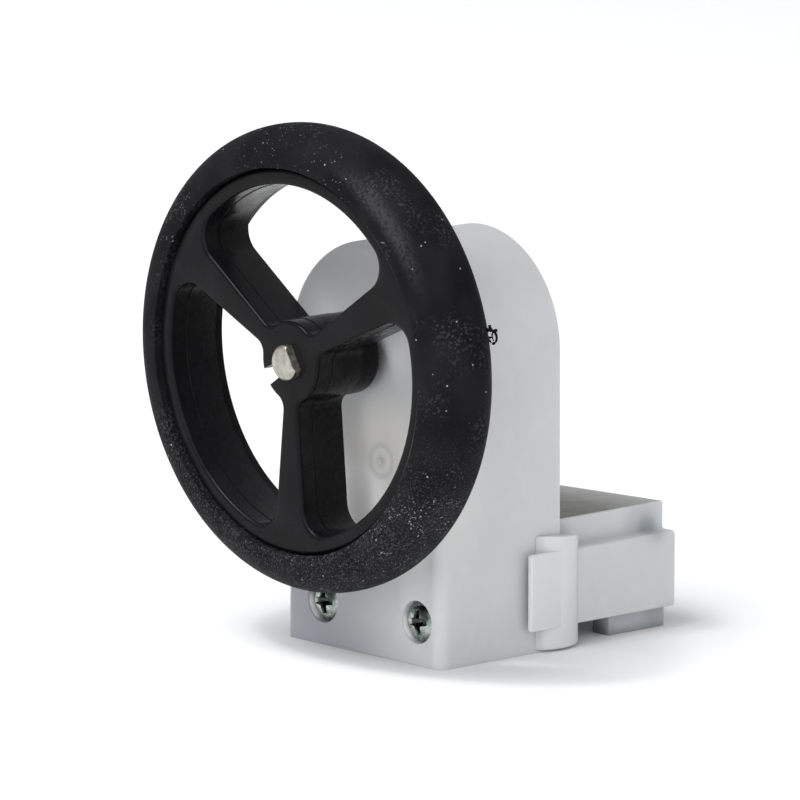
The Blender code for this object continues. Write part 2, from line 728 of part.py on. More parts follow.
def rear_cover():
    outline = tower_outline(TOWER_WALL + REST, TOWER_FLOOR + REST)
    cover = prism("rear_cover", [outline], COVER_FRONT, TOWER_DEPTH - REST)
    axle = (AXLE_X, 0, AXLE_Z)
    root = COVER_FRONT + 0.2
    bosses = [cylinder("bush_boss", "Y", REAR_BUSH_FRONT, root, BUSH_FLANGE_R + 0.3, (0, 0, AXIS_Z)),
              cylinder("rear_axle_boss", "Y", AXLE_BOSS_FRONT, root, AXLE_BOSS_R + 0.1, axle, 24)]
    holes = [cylinder("bush_pocket", "Y", REAR_BUSH_FRONT - OVER, REAR_BUSH_BACK + REST, BUSH_R + FIT,
                      (0, 0, AXIS_Z)),
             cylinder("rear_axle_hole", "Y", AXLE_BOSS_FRONT - OVER, AXLE_BACK + REST, AXLE_R + FIT,
                      axle, 20),
             box("cover_lead_window", (-LEAD_WINDOW, COVER_FRONT - OVER, LEAD_LOW),
                 (LEAD_WINDOW, TOWER_DEPTH + OVER, LEAD_HIGH))]
    for x in SCREW_XS:
        centre = (x, 0, SCREW_Z)
        bosses.append(cylinder("screw_post", "Y", TOWER_FRONT_WALL + REST, root, POST_R, centre, 24))
        holes.append(cylinder("post_hole", "Y", 0, TOWER_DEPTH + OVER, SCREW_R + REST, centre, 20))
    join(cover, *bosses)
    return finish(cut(cover, *holes), "milky_plastic")


def cover_screw(name, x):
    """An M2 pan-head screw with a cross recess, from the tower's front into the block."""
    head = SCREW_HEAD_FRONT
    under = SCREW_SEAT - FIT
    profile = [(0, SCREW_TIP), (0.35, SCREW_TIP), (SCREW_R, SCREW_TIP - SCREW_POINT),
               (SCREW_R, under), (SCREW_HEAD_R, under), (SCREW_HEAD_R, head + 0.55),
               (SCREW_HEAD_R - 0.12, head + 0.3), (SCREW_HEAD_R - 0.45, head + 0.1),
               (SCREW_HEAD_R / 2, head), (0, head)]
    made = turned(name, profile, (x, 0, SCREW_Z), 24)
    arms = []
    for across, up in ((RECESS_REACH, RECESS_HALF), (RECESS_HALF, RECESS_REACH)):
        arms.append(box("recess_arm", (x - across, head - OVER, SCREW_Z - up),
                        (x + across, head + RECESS_DEPTH, SCREW_Z + up)))
    return finish(cut(made, *arms), "zinc")


def layshaft():
    centre = (AXLE_X, 0, AXLE_Z)
    axle = cylinder("layshaft_axle", "Y", AXLE_FRONT, AXLE_BACK, AXLE_R, centre, 20)
    finish(axle, "steel")
    towards_output = math.degrees(math.atan2(AXIS_Z - AXLE_Z, -AXLE_X))
    pinion_teeth = gear_outline(PINION_TEETH, FINE_MODULE, towards_output + 180 / PINION_TEETH)
    wheel_teeth = gear_outline(WORM_WHEEL_TEETH, WORM_MODULE, 180 / WORM_WHEEL_TEETH)
    half = WORM_WHEEL_WIDTH / 2
    pinion = prism("compound_gear", [pinion_teeth], PINION_FRONT, PINION_BACK)
    worm_wheel = prism("worm_wheel", [wheel_teeth], MOTOR_Y - half, MOTOR_Y + half)
    lead_tangent = WORM_MODULE / 2 / WORM_PITCH_R
    pitch_r = WORM_WHEEL_TEETH * WORM_MODULE / 2
    for made, rate in ((pinion, 0.0), (worm_wheel, -lead_tangent / pitch_r)):
        for vertex in made.data.vertices:
            x, y, z = vertex.co
            turn = rate * (y / MM - MOTOR_Y)
            (u, v), = rotate([(x, z)], math.degrees(turn))
            vertex.co = (u + AXLE_X * MM, y, v + AXLE_Z * MM)
    hub = cylinder("compound_hub", "Y", PINION_BACK - 0.1, COMPOUND_BACK, COMPOUND_HUB_R, centre, 24)
    bore = cylinder("compound_bore", "Y", PINION_FRONT - OVER, COMPOUND_BACK + OVER, AXLE_R + FIT,
                    centre, 20)
    join(pinion, hub, worm_wheel)
    finish(origin_to(cut(pinion, bore), centre), "gear_plastic")
    for word, start in (("front", AXLE_BOSS_BACK + FIT), ("rear", COMPOUND_BACK + FIT)):
        ring(f"layshaft_washer_{word}", "Y", centre, AXLE_R + FIT, WASHER_R, start,
             start + WASHER_THICKNESS, "steel", 20)


# The motor and the worm

def worm():
    """A single-start right-handed worm with a tooth at the worm wheel's gap."""
    lead = math.pi * WORM_MODULE
    pitch_half = lead / 4 - BACKLASH / 2
    outer = WORM_PITCH_R + ADDENDUM * WORM_MODULE
    root = WORM_PITCH_R - DEDENDUM * WORM_MODULE

    def radius(angle, height):
        turns = (height - AXLE_Z) / lead - (angle - math.pi) / (2 * math.pi)
        from_tooth = abs(turns - round(turns)) * lead
        flank = WORM_PITCH_R + (pitch_half - from_tooth) / math.tan(PRESSURE_ANGLE)
        return max(root, min(outer, flank))

    def build(bm):
        length = WORM_TOP - WORM_BOTTOM
        bmesh.ops.create_cone(bm, cap_ends=True, segments=20, radius1=outer, radius2=outer,
                              depth=length)
        bmesh.ops.translate(bm, vec=(0, 0, (WORM_TOP + WORM_BOTTOM) / 2), verts=bm.verts)
        for level in range(1, WORM_LEVELS):
            height = WORM_BOTTOM + length * level / WORM_LEVELS
            bmesh.ops.bisect_plane(bm, geom=bm.verts[:] + bm.edges[:] + bm.faces[:],
                                   plane_co=(0, 0, height), plane_no=(0, 0, 1))
        for vertex in bm.verts:
            angle = math.atan2(vertex.co.y, vertex.co.x)
            r = radius(angle, vertex.co.z)
            vertex.co = (MOTOR_X + r * math.cos(angle), MOTOR_Y + r * math.sin(angle), vertex.co.z)
    thread = mesh_object("worm", build)
    bore = cylinder("worm_bore", "Z", WORM_BOTTOM - OVER, WORM_TOP + OVER, ROTOR_R + FIT,
                    (*MOTOR_CENTRE, 0), 16)
    finish(origin_to(cut(thread, bore), (*MOTOR_CENTRE, AXLE_Z)), "brass")


def rotor():
    base = (*MOTOR_CENTRE, 0)
    shaft = cylinder("rotor_shaft", "Z", ROTOR_BOTTOM, ROTOR_TOP, ROTOR_R, base, 16)
    finish(origin_to(shaft, base), "steel")
    bore = circle((0, 0), ROTOR_R + FIT, 16)
    outlines = [shift(outline, MOTOR_CENTRE) for outline in (pole_outline(), bore)]
    core = prism("armature_core", outlines, ARMATURE_BOTTOM, ARMATURE_TOP, "Z")
    finish(origin_to(core, base), "steel")
    ring("commutator", "Z", base, ROTOR_R + FIT, COMMUTATOR_R, COMMUTATOR_BOTTOM, COMMUTATOR_TOP,
         "copper", 24)
    for pole in range(3):
        coil = box(f"armature_winding_{pole + 1}",
                   (WINDING_INNER, -WINDING_HALF, ARMATURE_BOTTOM - WINDING_PROUD),
                   (WINDING_OUTER, WINDING_HALF, ARMATURE_TOP + WINDING_PROUD), 0.1, 1)
        slot = box(f"winding_slot_{pole}",
                   (WINDING_INNER - OVER, -WEB_HALF - REST, ARMATURE_BOTTOM - REST),
                   (WINDING_OUTER + OVER, WEB_HALF + REST, ARMATURE_TOP + REST))
        on_axis = Matrix.Translation(Vector(base) * MM)
        turn = on_axis @ Matrix.Rotation(math.radians(120 * pole), 4, "Z")
        coil.matrix_world = turn
        slot.matrix_world = turn
        finish(cut(coil, slot), "copper")


def motor():
    outer = shift(flat_sided(MOTOR_R, MOTOR_FLAT), MOTOR_CENTRE)
    inner = shift(flat_sided(MOTOR_R - CAN_WALL, MOTOR_FLAT - CAN_WALL), MOTOR_CENTRE)
    base = (*MOTOR_CENTRE, 0)
    can = prism("motor_can", [outer], CAN_BOTTOM, CAN_TOP, "Z")
    hollow = prism("can_hollow", [inner], CAN_BOTTOM - OVER, CAN_TOP - CAN_WALL, "Z")
    hole = cylinder("can_hole", "Z", CAN_TOP - CAN_WALL - OVER, CAN_TOP + OVER, MOTOR_BUSH_R + FIT,
                    base, 24)
    finish(cut(can, hollow, hole), "steel")
    ring("motor_bush", "Z", base, ROTOR_R + FIT, MOTOR_BUSH_R, MOTOR_BUSH_BOTTOM,
         CAN_TOP + MOTOR_BUSH_PROUD, "brass", 24)

    cap = prism("motor_end_cap", [outer], CAP_BOTTOM, CAN_BOTTOM - REST, "Z")
    cap_hole = cylinder("cap_hole", "Z", CAP_BOTTOM + CAP_FLOOR, CAN_BOTTOM + OVER, ROTOR_R + FIT,
                        base, 16)
    finish(cut(cap, cap_hole), "dark_plastic")

    for side, word, turn in SIDES:
        section = (arc((0, 0), MAGNET_INNER_R, -MAGNET_HALF_ANGLE, MAGNET_HALF_ANGLE, 8)
                   + arc((0, 0), MAGNET_OUTER_R, MAGNET_HALF_ANGLE, -MAGNET_HALF_ANGLE, 10))
        outline = shift(rotate(section, turn), MOTOR_CENTRE)
        magnet = prism(f"motor_magnet_{word}", [outline], MAGNET_BOTTOM, MAGNET_TOP, "Z")
        finish(magnet, "magnet")
        y = MOTOR_Y + side * BRUSH_OFFSET
        brush = box(f"motor_brush_{word}", (MOTOR_X - BRUSH_HALF_WIDTH, y - BRUSH_HALF, CAN_BOTTOM),
                    (MOTOR_X + BRUSH_HALF_WIDTH, y + BRUSH_HALF, BRUSH_TOP))
        finish(brush, "copper")
        x = MOTOR_X + side * TERMINAL_X
        terminal = box(f"motor_terminal_{word}",
                       (x - TERMINAL_HALF_WIDTH, MOTOR_Y - TERMINAL_HALF, TERMINAL_BOTTOM),
                       (x + TERMINAL_HALF_WIDTH, MOTOR_Y + TERMINAL_HALF, CAP_BOTTOM - REST))
        finish(terminal, "brass")


# The connector block

def rear_block():
    lower = [(FLANGE_HALF, BLOCK_BOTTOM), (FLANGE_HALF, FLANGE_TOP), (BLOCK_HALF, FLANGE_TOP)]
    section = (lower + [(BLOCK_HALF, BLOCK_TOP), (-BLOCK_HALF, BLOCK_TOP_LEFT)]
               + [(-x, z) for x, z in reversed(lower)])
    body = prism("rear_block", [section], BLOCK_FRONT, BLOCK_BACK)

    def outer_edge(a, b):
        lengthwise = abs(a.y - b.y) > 1
        inner_corner = abs(abs(a.x) - BLOCK_HALF) < 0.01 and abs(a.z - FLANGE_TOP) < 0.01
        return lengthwise and not inner_corner

    round_edges(body, BLOCK_EDGE, 2, outer_edge)
    added = []
    removed = [box("connector_cavity", (-SOCKET_HALF, CAVITY_FRONT, SOCKET_BOTTOM),
                   (SOCKET_HALF, BLOCK_BACK + OVER, SOCKET_TOP)),
               box("lead_channel", (-LEAD_WINDOW, BLOCK_FRONT - OVER, LEAD_LOW),
                   (LEAD_WINDOW, CAVITY_FRONT + OVER, LEAD_HIGH + 1.6))]
    for side in (-1, 1):
        def mirrored(name, low, high, edge):
            """A box given for the right side, moved to this side."""
            xs = sorted((side * low[0], side * high[0]))
            return box(name, (xs[0], *low[1:]), (xs[1], *high[1:]), edge, 1)
        added.append(mirrored("foot", (FOOT_INNER, FOOT_FRONT, 0),
                              (FOOT_OUTER, BLOCK_BACK - REST, BLOCK_BOTTOM + 0.4), 0.1))
        added.append(pillar(side))
        added.append(mirrored("wing", (WING_INNER, WING_FRONT, WING_BOTTOM),
                              (WING_OUTER, WING_BACK, WING_TOP), WING_EDGE))
        removed.append(cylinder("retaining_hole", "Z", -OVER, SOCKET_TOP + FIT, RETAINER_R + FIT,
                                (side * RETAINER_X, RETAINER_Y, 0), 20))
    for x in SCREW_XS:
        removed.append(cylinder("block_screw_hole", "Y", BLOCK_FRONT - OVER, SCREW_TIP + 0.4,
                                SCREW_R + FIT, (x, 0, SCREW_Z), 20))
    join(body, *added)
    return finish(cut(body, *removed), "milky_plastic")


def pillar(side):
    """A half-round arm that straddles the tower's rear edge and joins the block's flange."""
    inner = TOWER_HALF_BASE + REST
    chord = (PILLAR_BACK - PILLAR_FRONT) / 2
    sagitta = PILLAR_PROUD - inner
    radius = (chord ** 2 + sagitta ** 2) / (2 * sagitta)
    half = math.degrees(math.asin(chord / radius))
    centre = (PILLAR_PROUD - radius, (PILLAR_FRONT + PILLAR_BACK) / 2)
    root = FLANGE_HALF - 0.6
    outline = arc(centre, radius, -half, half, 12)
    root_front = BLOCK_FRONT + 0.15
    outline += [(root, PILLAR_BACK), (root, root_front), (inner, root_front)]
    made = prism("pillar", [[(side * x, y) for x, y in outline]], PILLAR_BOTTOM, PILLAR_TOP, "Z")

    def end_edge(a, b):
        return abs(a.z - b.z) < 0.01 and abs(a.x) > inner + 0.05 and abs(b.x) > inner + 0.05

    return round_edges(made, PILLAR_EDGE, 2, end_edge)


def connector():
    body = box("connector_body", (-SOCKET_HALF + REST, CONNECTOR_FRONT, SOCKET_BOTTOM + REST),
               (SOCKET_HALF - REST, CONNECTOR_BACK, SOCKET_TOP - REST))
    removed = [box("plug_recess", (-PLUG_HALF, PLUG_FRONT, SOCKET_MIDDLE - PLUG_HALF_HEIGHT),
                   (PLUG_HALF, CONNECTOR_BACK + OVER, SOCKET_MIDDLE + PLUG_HALF_HEIGHT))]
    hole = CONTACT_HALF + FIT
    for side, word, _ in SIDES:
        x = side * CONTACT_X
        removed.append(box("contact_hole", (x - hole, CONNECTOR_FRONT - OVER, SOCKET_MIDDLE - hole),
                           (x + hole, PLUG_FRONT + OVER, SOCKET_MIDDLE + hole)))
        contact = box(f"contact_pin_{word}",
                      (x - CONTACT_HALF, CONTACT_FRONT, SOCKET_MIDDLE - CONTACT_HALF),
                      (x + CONTACT_HALF, CONTACT_BACK, SOCKET_MIDDLE + CONTACT_HALF), 0.06, 1)
        finish(contact, "brass")
        centre = (side * RETAINER_X, RETAINER_Y, 0)
        removed.append(cylinder("retaining_groove", "Z", SOCKET_BOTTOM - OVER, SOCKET_TOP + OVER,
                                RETAINER_R + REST, centre, 20))
        retainer = cylinder(f"retaining_pin_{word}", "Z", RETAINER_BOTTOM, SOCKET_TOP - REST,
                            RETAINER_R, centre, 20)
        finish(retainer, "steel")
    finish(cut(body, *removed), "dark_plastic")


def motor_leads():
    """The two insulated leads from the motor's terminals to the connector's contacts."""
    level = (LEAD_LOW + LEAD_HIGH) / 2
    for name, side, insulation in (("lead_negative", -1, "dark_plastic"),
                                   ("lead_positive", 1, "red_insulation")):
        start_x = MOTOR_X + side * TERMINAL_X
        end_x = side * CONTACT_X
        route = [(start_x, MOTOR_Y, TERMINAL_BOTTOM - 0.5), (start_x, MOTOR_Y + 0.9, level - 0.5),
                 ((start_x + end_x) / 2, MOTOR_Y + 3.5, level - 0.2),
                 (end_x, TOWER_DEPTH - 0.2, level), (end_x, TOWER_DEPTH + 2, level + 0.8),
                 (end_x, CONTACT_FRONT - REST, SOCKET_MIDDLE)]
        curve = bpy.data.curves.new(name, "CURVE")
        curve.dimensions = "3D"
        curve.bevel_depth = LEAD_R * MM
        curve.bevel_resolution = 2
        curve.use_fill_caps = True
        points = smooth_route(route, 4)
        spline = curve.splines.new("POLY")
        spline.points.add(len(points) - 1)
        for point, position in zip(spline.points, points):
            point.co = (*(position * MM), 1.0)
        finish(as_mesh(place(curve, name, cutters)), insulation)


def move_to_origin():
    """Hangs every solid and cutter on one empty, so the tower's underside is centred on the origin."""
    unit = bpy.data.objects.new("drive_unit", None)
    unit.location = (0, -TOWER_DEPTH / 2 * MM, 0)
    for made in list(parts.objects) + list(cutters.objects):
        made.parent = unit
    parts.objects.link(unit)


tyre()
wheel()
output_shaft()
output_circlip()
output_gear()
output_bushes()
gearbox_shell()
rear_cover()
for x, (_, word, _) in zip(SCREW_XS, SIDES):
    cover_screw(f"cover_screw_{word}", x)
layshaft()
worm()
rotor()
motor()
rear_block()
connector()
motor_leads()
for helper in cutters.objects:
    helper.hide_render = True
    helper.display_type = "WIRE"
move_to_origin()
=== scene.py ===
"""Looks of the motorized wheel drive unit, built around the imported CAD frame.

The wheel, tyre, shaft end, screws, tower, cover, block and connector are remade here as finished
meshes. Every other CAD node keeps its own mesh and gets a procedural material.
"""

import json
import math
import random

import bmesh
import bpy
from mathutils import Matrix, Vector


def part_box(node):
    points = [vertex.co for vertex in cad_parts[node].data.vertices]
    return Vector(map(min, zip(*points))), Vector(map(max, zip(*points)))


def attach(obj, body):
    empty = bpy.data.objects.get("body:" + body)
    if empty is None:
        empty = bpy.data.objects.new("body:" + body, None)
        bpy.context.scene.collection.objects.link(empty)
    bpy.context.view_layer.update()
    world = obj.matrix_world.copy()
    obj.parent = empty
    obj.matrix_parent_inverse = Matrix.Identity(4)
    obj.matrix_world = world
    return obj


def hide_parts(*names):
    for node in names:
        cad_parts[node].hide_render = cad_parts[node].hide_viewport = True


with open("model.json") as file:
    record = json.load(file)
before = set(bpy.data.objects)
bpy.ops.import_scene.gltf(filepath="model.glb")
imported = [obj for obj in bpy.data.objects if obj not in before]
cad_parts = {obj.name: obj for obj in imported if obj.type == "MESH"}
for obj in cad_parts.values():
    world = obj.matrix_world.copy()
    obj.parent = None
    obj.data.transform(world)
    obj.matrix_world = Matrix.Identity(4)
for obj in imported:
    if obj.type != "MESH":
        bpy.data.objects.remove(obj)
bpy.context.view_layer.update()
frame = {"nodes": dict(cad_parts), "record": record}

MM = 0.001


def cad_box(node):
    """A CAD node's lowest and highest corners, in millimetres."""
    low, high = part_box(node)
    return low / MM, high / MM


# Sizes, millimetres, from the frame

TYRE_LOW, TYRE_HIGH = cad_box("tyre")
WHEEL_LOW, WHEEL_HIGH = cad_box("wheel")
SHAFT_LOW, SHAFT_HIGH = cad_box("output_shaft")
SHELL_LOW, SHELL_HIGH = cad_box("gearbox_shell")
BLOCK_LOW, BLOCK_HIGH = cad_box("rear_block")
SOCKET_LOW, SOCKET_HIGH = cad_box("connector_body")

AXIS_Z = (TYRE_LOW.z + TYRE_HIGH.z) / 2
TYRE_R = (TYRE_HIGH.x - TYRE_LOW.x) / 2
TYRE_MIDDLE = (TYRE_LOW.y + TYRE_HIGH.y) / 2
TYRE_WIDTH = TYRE_HIGH.y - TYRE_LOW.y
WHEEL_FRONT = WHEEL_LOW.y
RIM_R = (WHEEL_HIGH.z - WHEEL_LOW.z) / 2
HUB_LENGTH = WHEEL_HIGH.y - WHEEL_LOW.y
SHAFT_R = (SHAFT_HIGH.x - SHAFT_LOW.x) / 2
TOWER_FRONT = SHELL_LOW.y
TOWER_DEPTH = SHELL_HIGH.y - SHELL_LOW.y
TOWER_HALF_BASE = SHELL_HIGH.x

# Sizes, millimetres, that the frame's boxes don't give

RUNNING_GAP = 0.05          # between a shaft, bush or pin and its hole
RESTING_GAP = 0.1           # between pieces that rest against each other

TYRE_BORE_R = 16.5
TYRE_CROWN = 2.2            # exponent of the tyre's superellipse section
RIM_DEPTH = 6.05
RIM_EDGE = 0.3
RIM_LIP_R = 15.06
RIM_POCKET_R = 15.15
HUB_R = 3.5
HUB_EDGE = 0.55
SPOKE_DEPTH = 5.1
SPOKE_HALF_HUB = 0.86
SPOKE_HALF_RIM = 1.8
SPOKE_RIM_RADIUS = 13.9
SPOKE_RIM_FILLET = 2.2
SPOKE_HUB_FILLET = 1.2
WINDOW_EDGE = 0.32          # rounding of the windows' front edges
PARTING_DEPTH = 1.75
PARTING_STEP = 0.06
PARTING_GROOVE = 0.05
BACK_CLEARANCE = 0.02       # keeps the window cutters off the hub behind the spokes
NOTCH_MOUTH = 1.7
NOTCH_THROAT = 1.1
NOTCH_START = 0.9
FLAT_DEPTH = 0.5
SHAFT_CHAMFER = 0.2

TOWER_HALF_TOP = 9.7
TOWER_WALL = 1.2
TOWER_FRONT_WALL = 1.6
TOWER_EDGE = 1.2
TOWER_BACK_EDGE = 0.15
ARCH_Z = SHELL_HIGH.z - TOWER_HALF_TOP
COVER_THICKNESS = 1.25
BUSH_R = 2.2
BUSH_FLANGE_R = 3.1
BUSH_SUNK = 0.6             # the bush sits behind a lip in the tower's front wall
BUSH_LIP_R = 1.75
BUSH_FLANGE_START = 1.7
BUSH_BACK = 2.2
GATE_X = 2.3                # the moulding gate's mark on the tower's front
GATE_Z = 17.0
GATE_R = 1.35
GATE_DEPTH = 0.08

SCREW_HEAD_R = 1.74
SCREW_R = 1.0
SCREW_SEAT = 1.1
DOME_HEIGHT = 0.75
CROSS_TURN = 5              # degrees
SCREW_XS = [sum(cad_box(f"cover_screw_{side}")[i].x for i in (0, 1)) / 2 for side in ("left", "right")]
SCREW_Z = sum(cad_box("cover_screw_left")[i].z for i in (0, 1)) / 2

BLOCK_HALF = 8.45
BLOCK_FRONT = TOWER_FRONT + TOWER_DEPTH + RESTING_GAP
BLOCK_BACK = BLOCK_HIGH.y
BLOCK_BOTTOM = 1.94
BLOCK_TOP = BLOCK_HIGH.z
BLOCK_TOP_LEFT = 10.2
FLANGE_HALF = 10.0
FLANGE_TOP = 8.5
BLOCK_EDGE = 0.2
FOOT_INNER = 6.7
FOOT_OUTER = 8.8
FOOT_FRONT = TOWER_FRONT + 20.6
PILLAR_FRONT = TOWER_FRONT + 11.0
PILLAR_BACK = TOWER_FRONT + 15.95
PILLAR_BOTTOM = 0.2
PILLAR_TOP = 10.15
PILLAR_PROUD = 10.75
PILLAR_SUNK = 0.25          # into the tower's side, out of sight
PILLAR_FALL = 0.4           # the pillar's top falls this much towards its back corner
PILLAR_CORNER = 0.7         # radius of that corner
WING_BACK = PILLAR_FRONT + 2.3
WING_STRAIGHT = 1.4         # length of the wing's flat front part
WING_INNER = 10.4
WING_OUTER = 10.9
WING_BOTTOM = 2.15
WING_TOP = 8.8
SOCKET_HALF = 7.1
SOCKET_BOTTOM = 3.2
SOCKET_TOP = 9.6
SOCKET_FRONT = TOWER_FRONT + 18.0
PLUG_HALF = 5.2
PLUG_HALF_HEIGHT = 2.15
PLUG_FRONT = TOWER_FRONT + 22.6
PIN_X = 7.5
PIN_Y = TOWER_FRONT + 25.2
PIN_R = 0.6

LEAD_WINDOW_HALF = 2.6      # the way out for the motor's leads, through the cover
LEAD_WINDOW_BOTTOM = 3.2
LEAD_WINDOW_TOP = 5.6

FLASH_R = 19.1              # the torn rubber's root, from the wheel's axis
FLASH_ANGLE = 13            # degrees above the horizontal

CAMERA_AZIMUTH = 47.351     # degrees, as are the next two
CAMERA_ELEVATION = 10.846
CAMERA_ROLL = 0.183
CAMERA_DISTANCE = 1.09583   # metres, as are the next two
CAMERA_AIM_RIGHT = 0.003159
CAMERA_AIM_Z = 0.021944
CAMERA_LENS = 581.86        # the focal length on a sensor 36 mm wide

LIGHTS = (                  # name, azimuth, elevation, distance and size in metres, power in watts
    ("key", -12, 58, 1.6, 0.9, 17.5),
    ("front", 20, 20, 1.6, 1.1, 8.2),
    ("right", 72, 30, 1.6, 1.0, 3.6),
    ("glint", -10, 60, 1.2, 0.10, 2.2),
)

AROUND = 240                # steps around the large turned pieces


# Making meshes. Every mesh is in the frame's coordinates, and its object sits at the origin.

def mesh_piece(name, bm):
    """An object from a bmesh in millimetres, which is freed."""
    bmesh.ops.scale(bm, vec=(MM, MM, MM), verts=bm.verts)
    bmesh.ops.recalc_face_normals(bm, faces=bm.faces)
    mesh = bpy.data.meshes.new(name)
    bm.to_mesh(mesh)
    bm.free()
    made = bpy.data.objects.new(name, mesh)
    bpy.context.scene.collection.objects.link(made)
    return made


def loft(name, rings, closed=False):
    """A solid through rings of equally many points. closed joins the last ring to the first."""
    bm = bmesh.new()
    rows = [[bm.verts.new(point) for point in ring] for ring in rings]
    following = rows[1:] + rows[:1] if closed else rows[1:]
    for near, far in zip(rows, following):
        for i in range(len(near)):
            j = (i + 1) % len(near)
            bm.faces.new((near[i], near[j], far[j], far[i]))
    if not closed:
        bm.faces.new(rows[0])
        bm.faces.new(rows[-1])
    return mesh_piece(name, bm)


def across(axis, outline, height):
    """An outline's points on a plane across axis: (y, z), (x, z) or (x, y) for X, Y or Z."""
    if axis == "X":
        return [(height, u, v) for u, v in outline]
    if axis == "Y":
        return [(u, height, v) for u, v in outline]
    return [(u, v, height) for u, v in outline]


def revolve(name, profile, centre, axis="Y", steps=96):
    """A solid of revolution from a profile of (radius, height). Points on the axis close its ends."""
    on_axis = profile[0][0] == 0
    inner = profile[1:-1] if on_axis else profile
    rings = []
    for r, h in inner:
        outline = shifted(circle(r, steps), centre)
        rings.append(across(axis, outline, h))
    return loft(name, rings, closed=not on_axis)


def apply_modifiers(made):
    bpy.context.view_layer.update()
    graph = bpy.context.evaluated_depsgraph_get()
    mesh = bpy.data.meshes.new_from_object(made.evaluated_get(graph))
    made.modifiers.clear()
    made.data = mesh
    return made


def boolean(made, operation, *others):
    """Cuts the others from a piece, or joins them to it, and removes them."""
    for other in others:
        step = made.modifiers.new(operation.lower(), "BOOLEAN")
        step.operation = operation
        step.solver = "EXACT"
        step.object = other
    apply_modifiers(made)
    for other in others:
        bpy.data.objects.remove(other, do_unlink=True)
    return made


def soften(made, width, segments=2, angle=40):
    """Rounds a piece's sharp edges by width, in millimetres."""
    bevel = made.modifiers.new("soften", "BEVEL")
    bevel.width = width * MM
    bevel.segments = segments
    bevel.limit_method = "ANGLE"
    bevel.angle_limit = math.radians(angle)
    bevel.miter_outer = "MITER_ARC"
    return apply_modifiers(made)


def shade(made, angle=32):
    made.data.shade_smooth()
    made.data.set_sharp_from_angle(angle=math.radians(angle))
    return made


# Outlines

def arc(centre, radius, start, end, steps):
    """Points from angle start to angle end, in degrees, both included."""
    points = []
    for i in range(steps + 1):
        a = math.radians(start + (end - start) * i / steps)
        points.append((centre[0] + radius * math.cos(a), centre[1] + radius * math.sin(a)))
    return points


def circle(radius, steps):
    return arc((0, 0), radius, 0, 360, steps)[:-1]


def shifted(points, offset):
    return [(x + offset[0], y + offset[1]) for x, y in points]


def turned_by(points, degrees):
    c, s = math.cos(math.radians(degrees)), math.sin(math.radians(degrees))
    return [(x * c - y * s, x * s + y * c) for x, y in points]


def filleted(corners, steps=5):
    """A polygon with rounded corners. corners are (u, v, radius), anticlockwise or clockwise."""
    points = []
    for i, (u, v, radius) in enumerate(corners):
        here = Vector((u, v))
        before = (Vector(corners[i - 1][:2]) - here).normalized()
        after = (Vector(corners[(i + 1) % len(corners)][:2]) - here).normalized()
        if radius == 0:
            points.append((u, v))
            continue
        half = before.angle(after) / 2
        reach = radius / math.tan(half)
        middle = here + (before + after).normalized() * radius / math.sin(half)
        first = here + before * reach - middle
        last = here + after * reach - middle
        sweep = first.angle_signed(last)
        for k in range(steps + 1):
            turn = Matrix.Rotation(-sweep * k / steps, 2)
            point = middle + turn @ first
            points.append((point.x, point.y))
    return points


def inset(points, distance):
    """The outline moved inwards by distance, along the directions halfway between its sides."""
    area = sum(points[i - 1][0] * p[1] - p[0] * points[i - 1][1] for i, p in enumerate(points))
    side = 1 if area > 0 else -1
    moved = []
    for i, (u, v) in enumerate(points):
        before, after = points[i - 1], points[(i + 1) % len(points)]
        along = Vector((after[0] - before[0], after[1] - before[1])).normalized()
        moved.append((u - side * along.y * distance, v + side * along.x * distance))
    return moved


def rounded_prism(name, outline, start, end, axis="Y", edge=0.15, steps=3):
    """An outline from start to end along an axis, with its two end edges rounded."""
    rings = []
    for i in range(steps + 1):
        a = math.pi / 2 * i / steps
        rings.append((start + edge * (1 - math.cos(a)), edge * (1 - math.sin(a))))
    for i in range(steps + 1):
        a = math.pi / 2 * (1 - i / steps)
        rings.append((end - edge * (1 - math.cos(a)), edge * (1 - math.sin(a))))
    return loft(name, [across(axis, inset(outline, by), height) for height, by in rings])


def plain_prism(name, outline, start, end, axis="Y"):
    return loft(name, [across(axis, outline, height) for height in (start, end)])


def rectangle(low, high, radius):
    """A rounded rectangle's outline from two opposite corners."""
    (u0, v0), (u1, v1) = low, high
    return filleted([(u0, v0, radius), (u1, v0, radius), (u1, v1, radius), (u0, v1, radius)])


def tower_outline(by=0.0, bottom=0.0, steps=96):
    """The tower's front view, moved inwards by a distance everywhere but at its bottom."""
    slope = (TOWER_HALF_BASE - TOWER_HALF_TOP) / ARCH_Z
    base = TOWER_HALF_BASE - slope * bottom - by
    top = arc((0, ARCH_Z), TOWER_HALF_TOP - by, 0, 180, steps)
    return [(-base, bottom), (base, bottom)] + top


def d_outline(radius, flat, steps=60):
    """A D section whose flat, at distance flat from the centre, faces +60 degrees."""
    half = math.degrees(math.acos(flat / radius))
    return arc((0, 0), radius, 30 + half, 390 - half, steps)


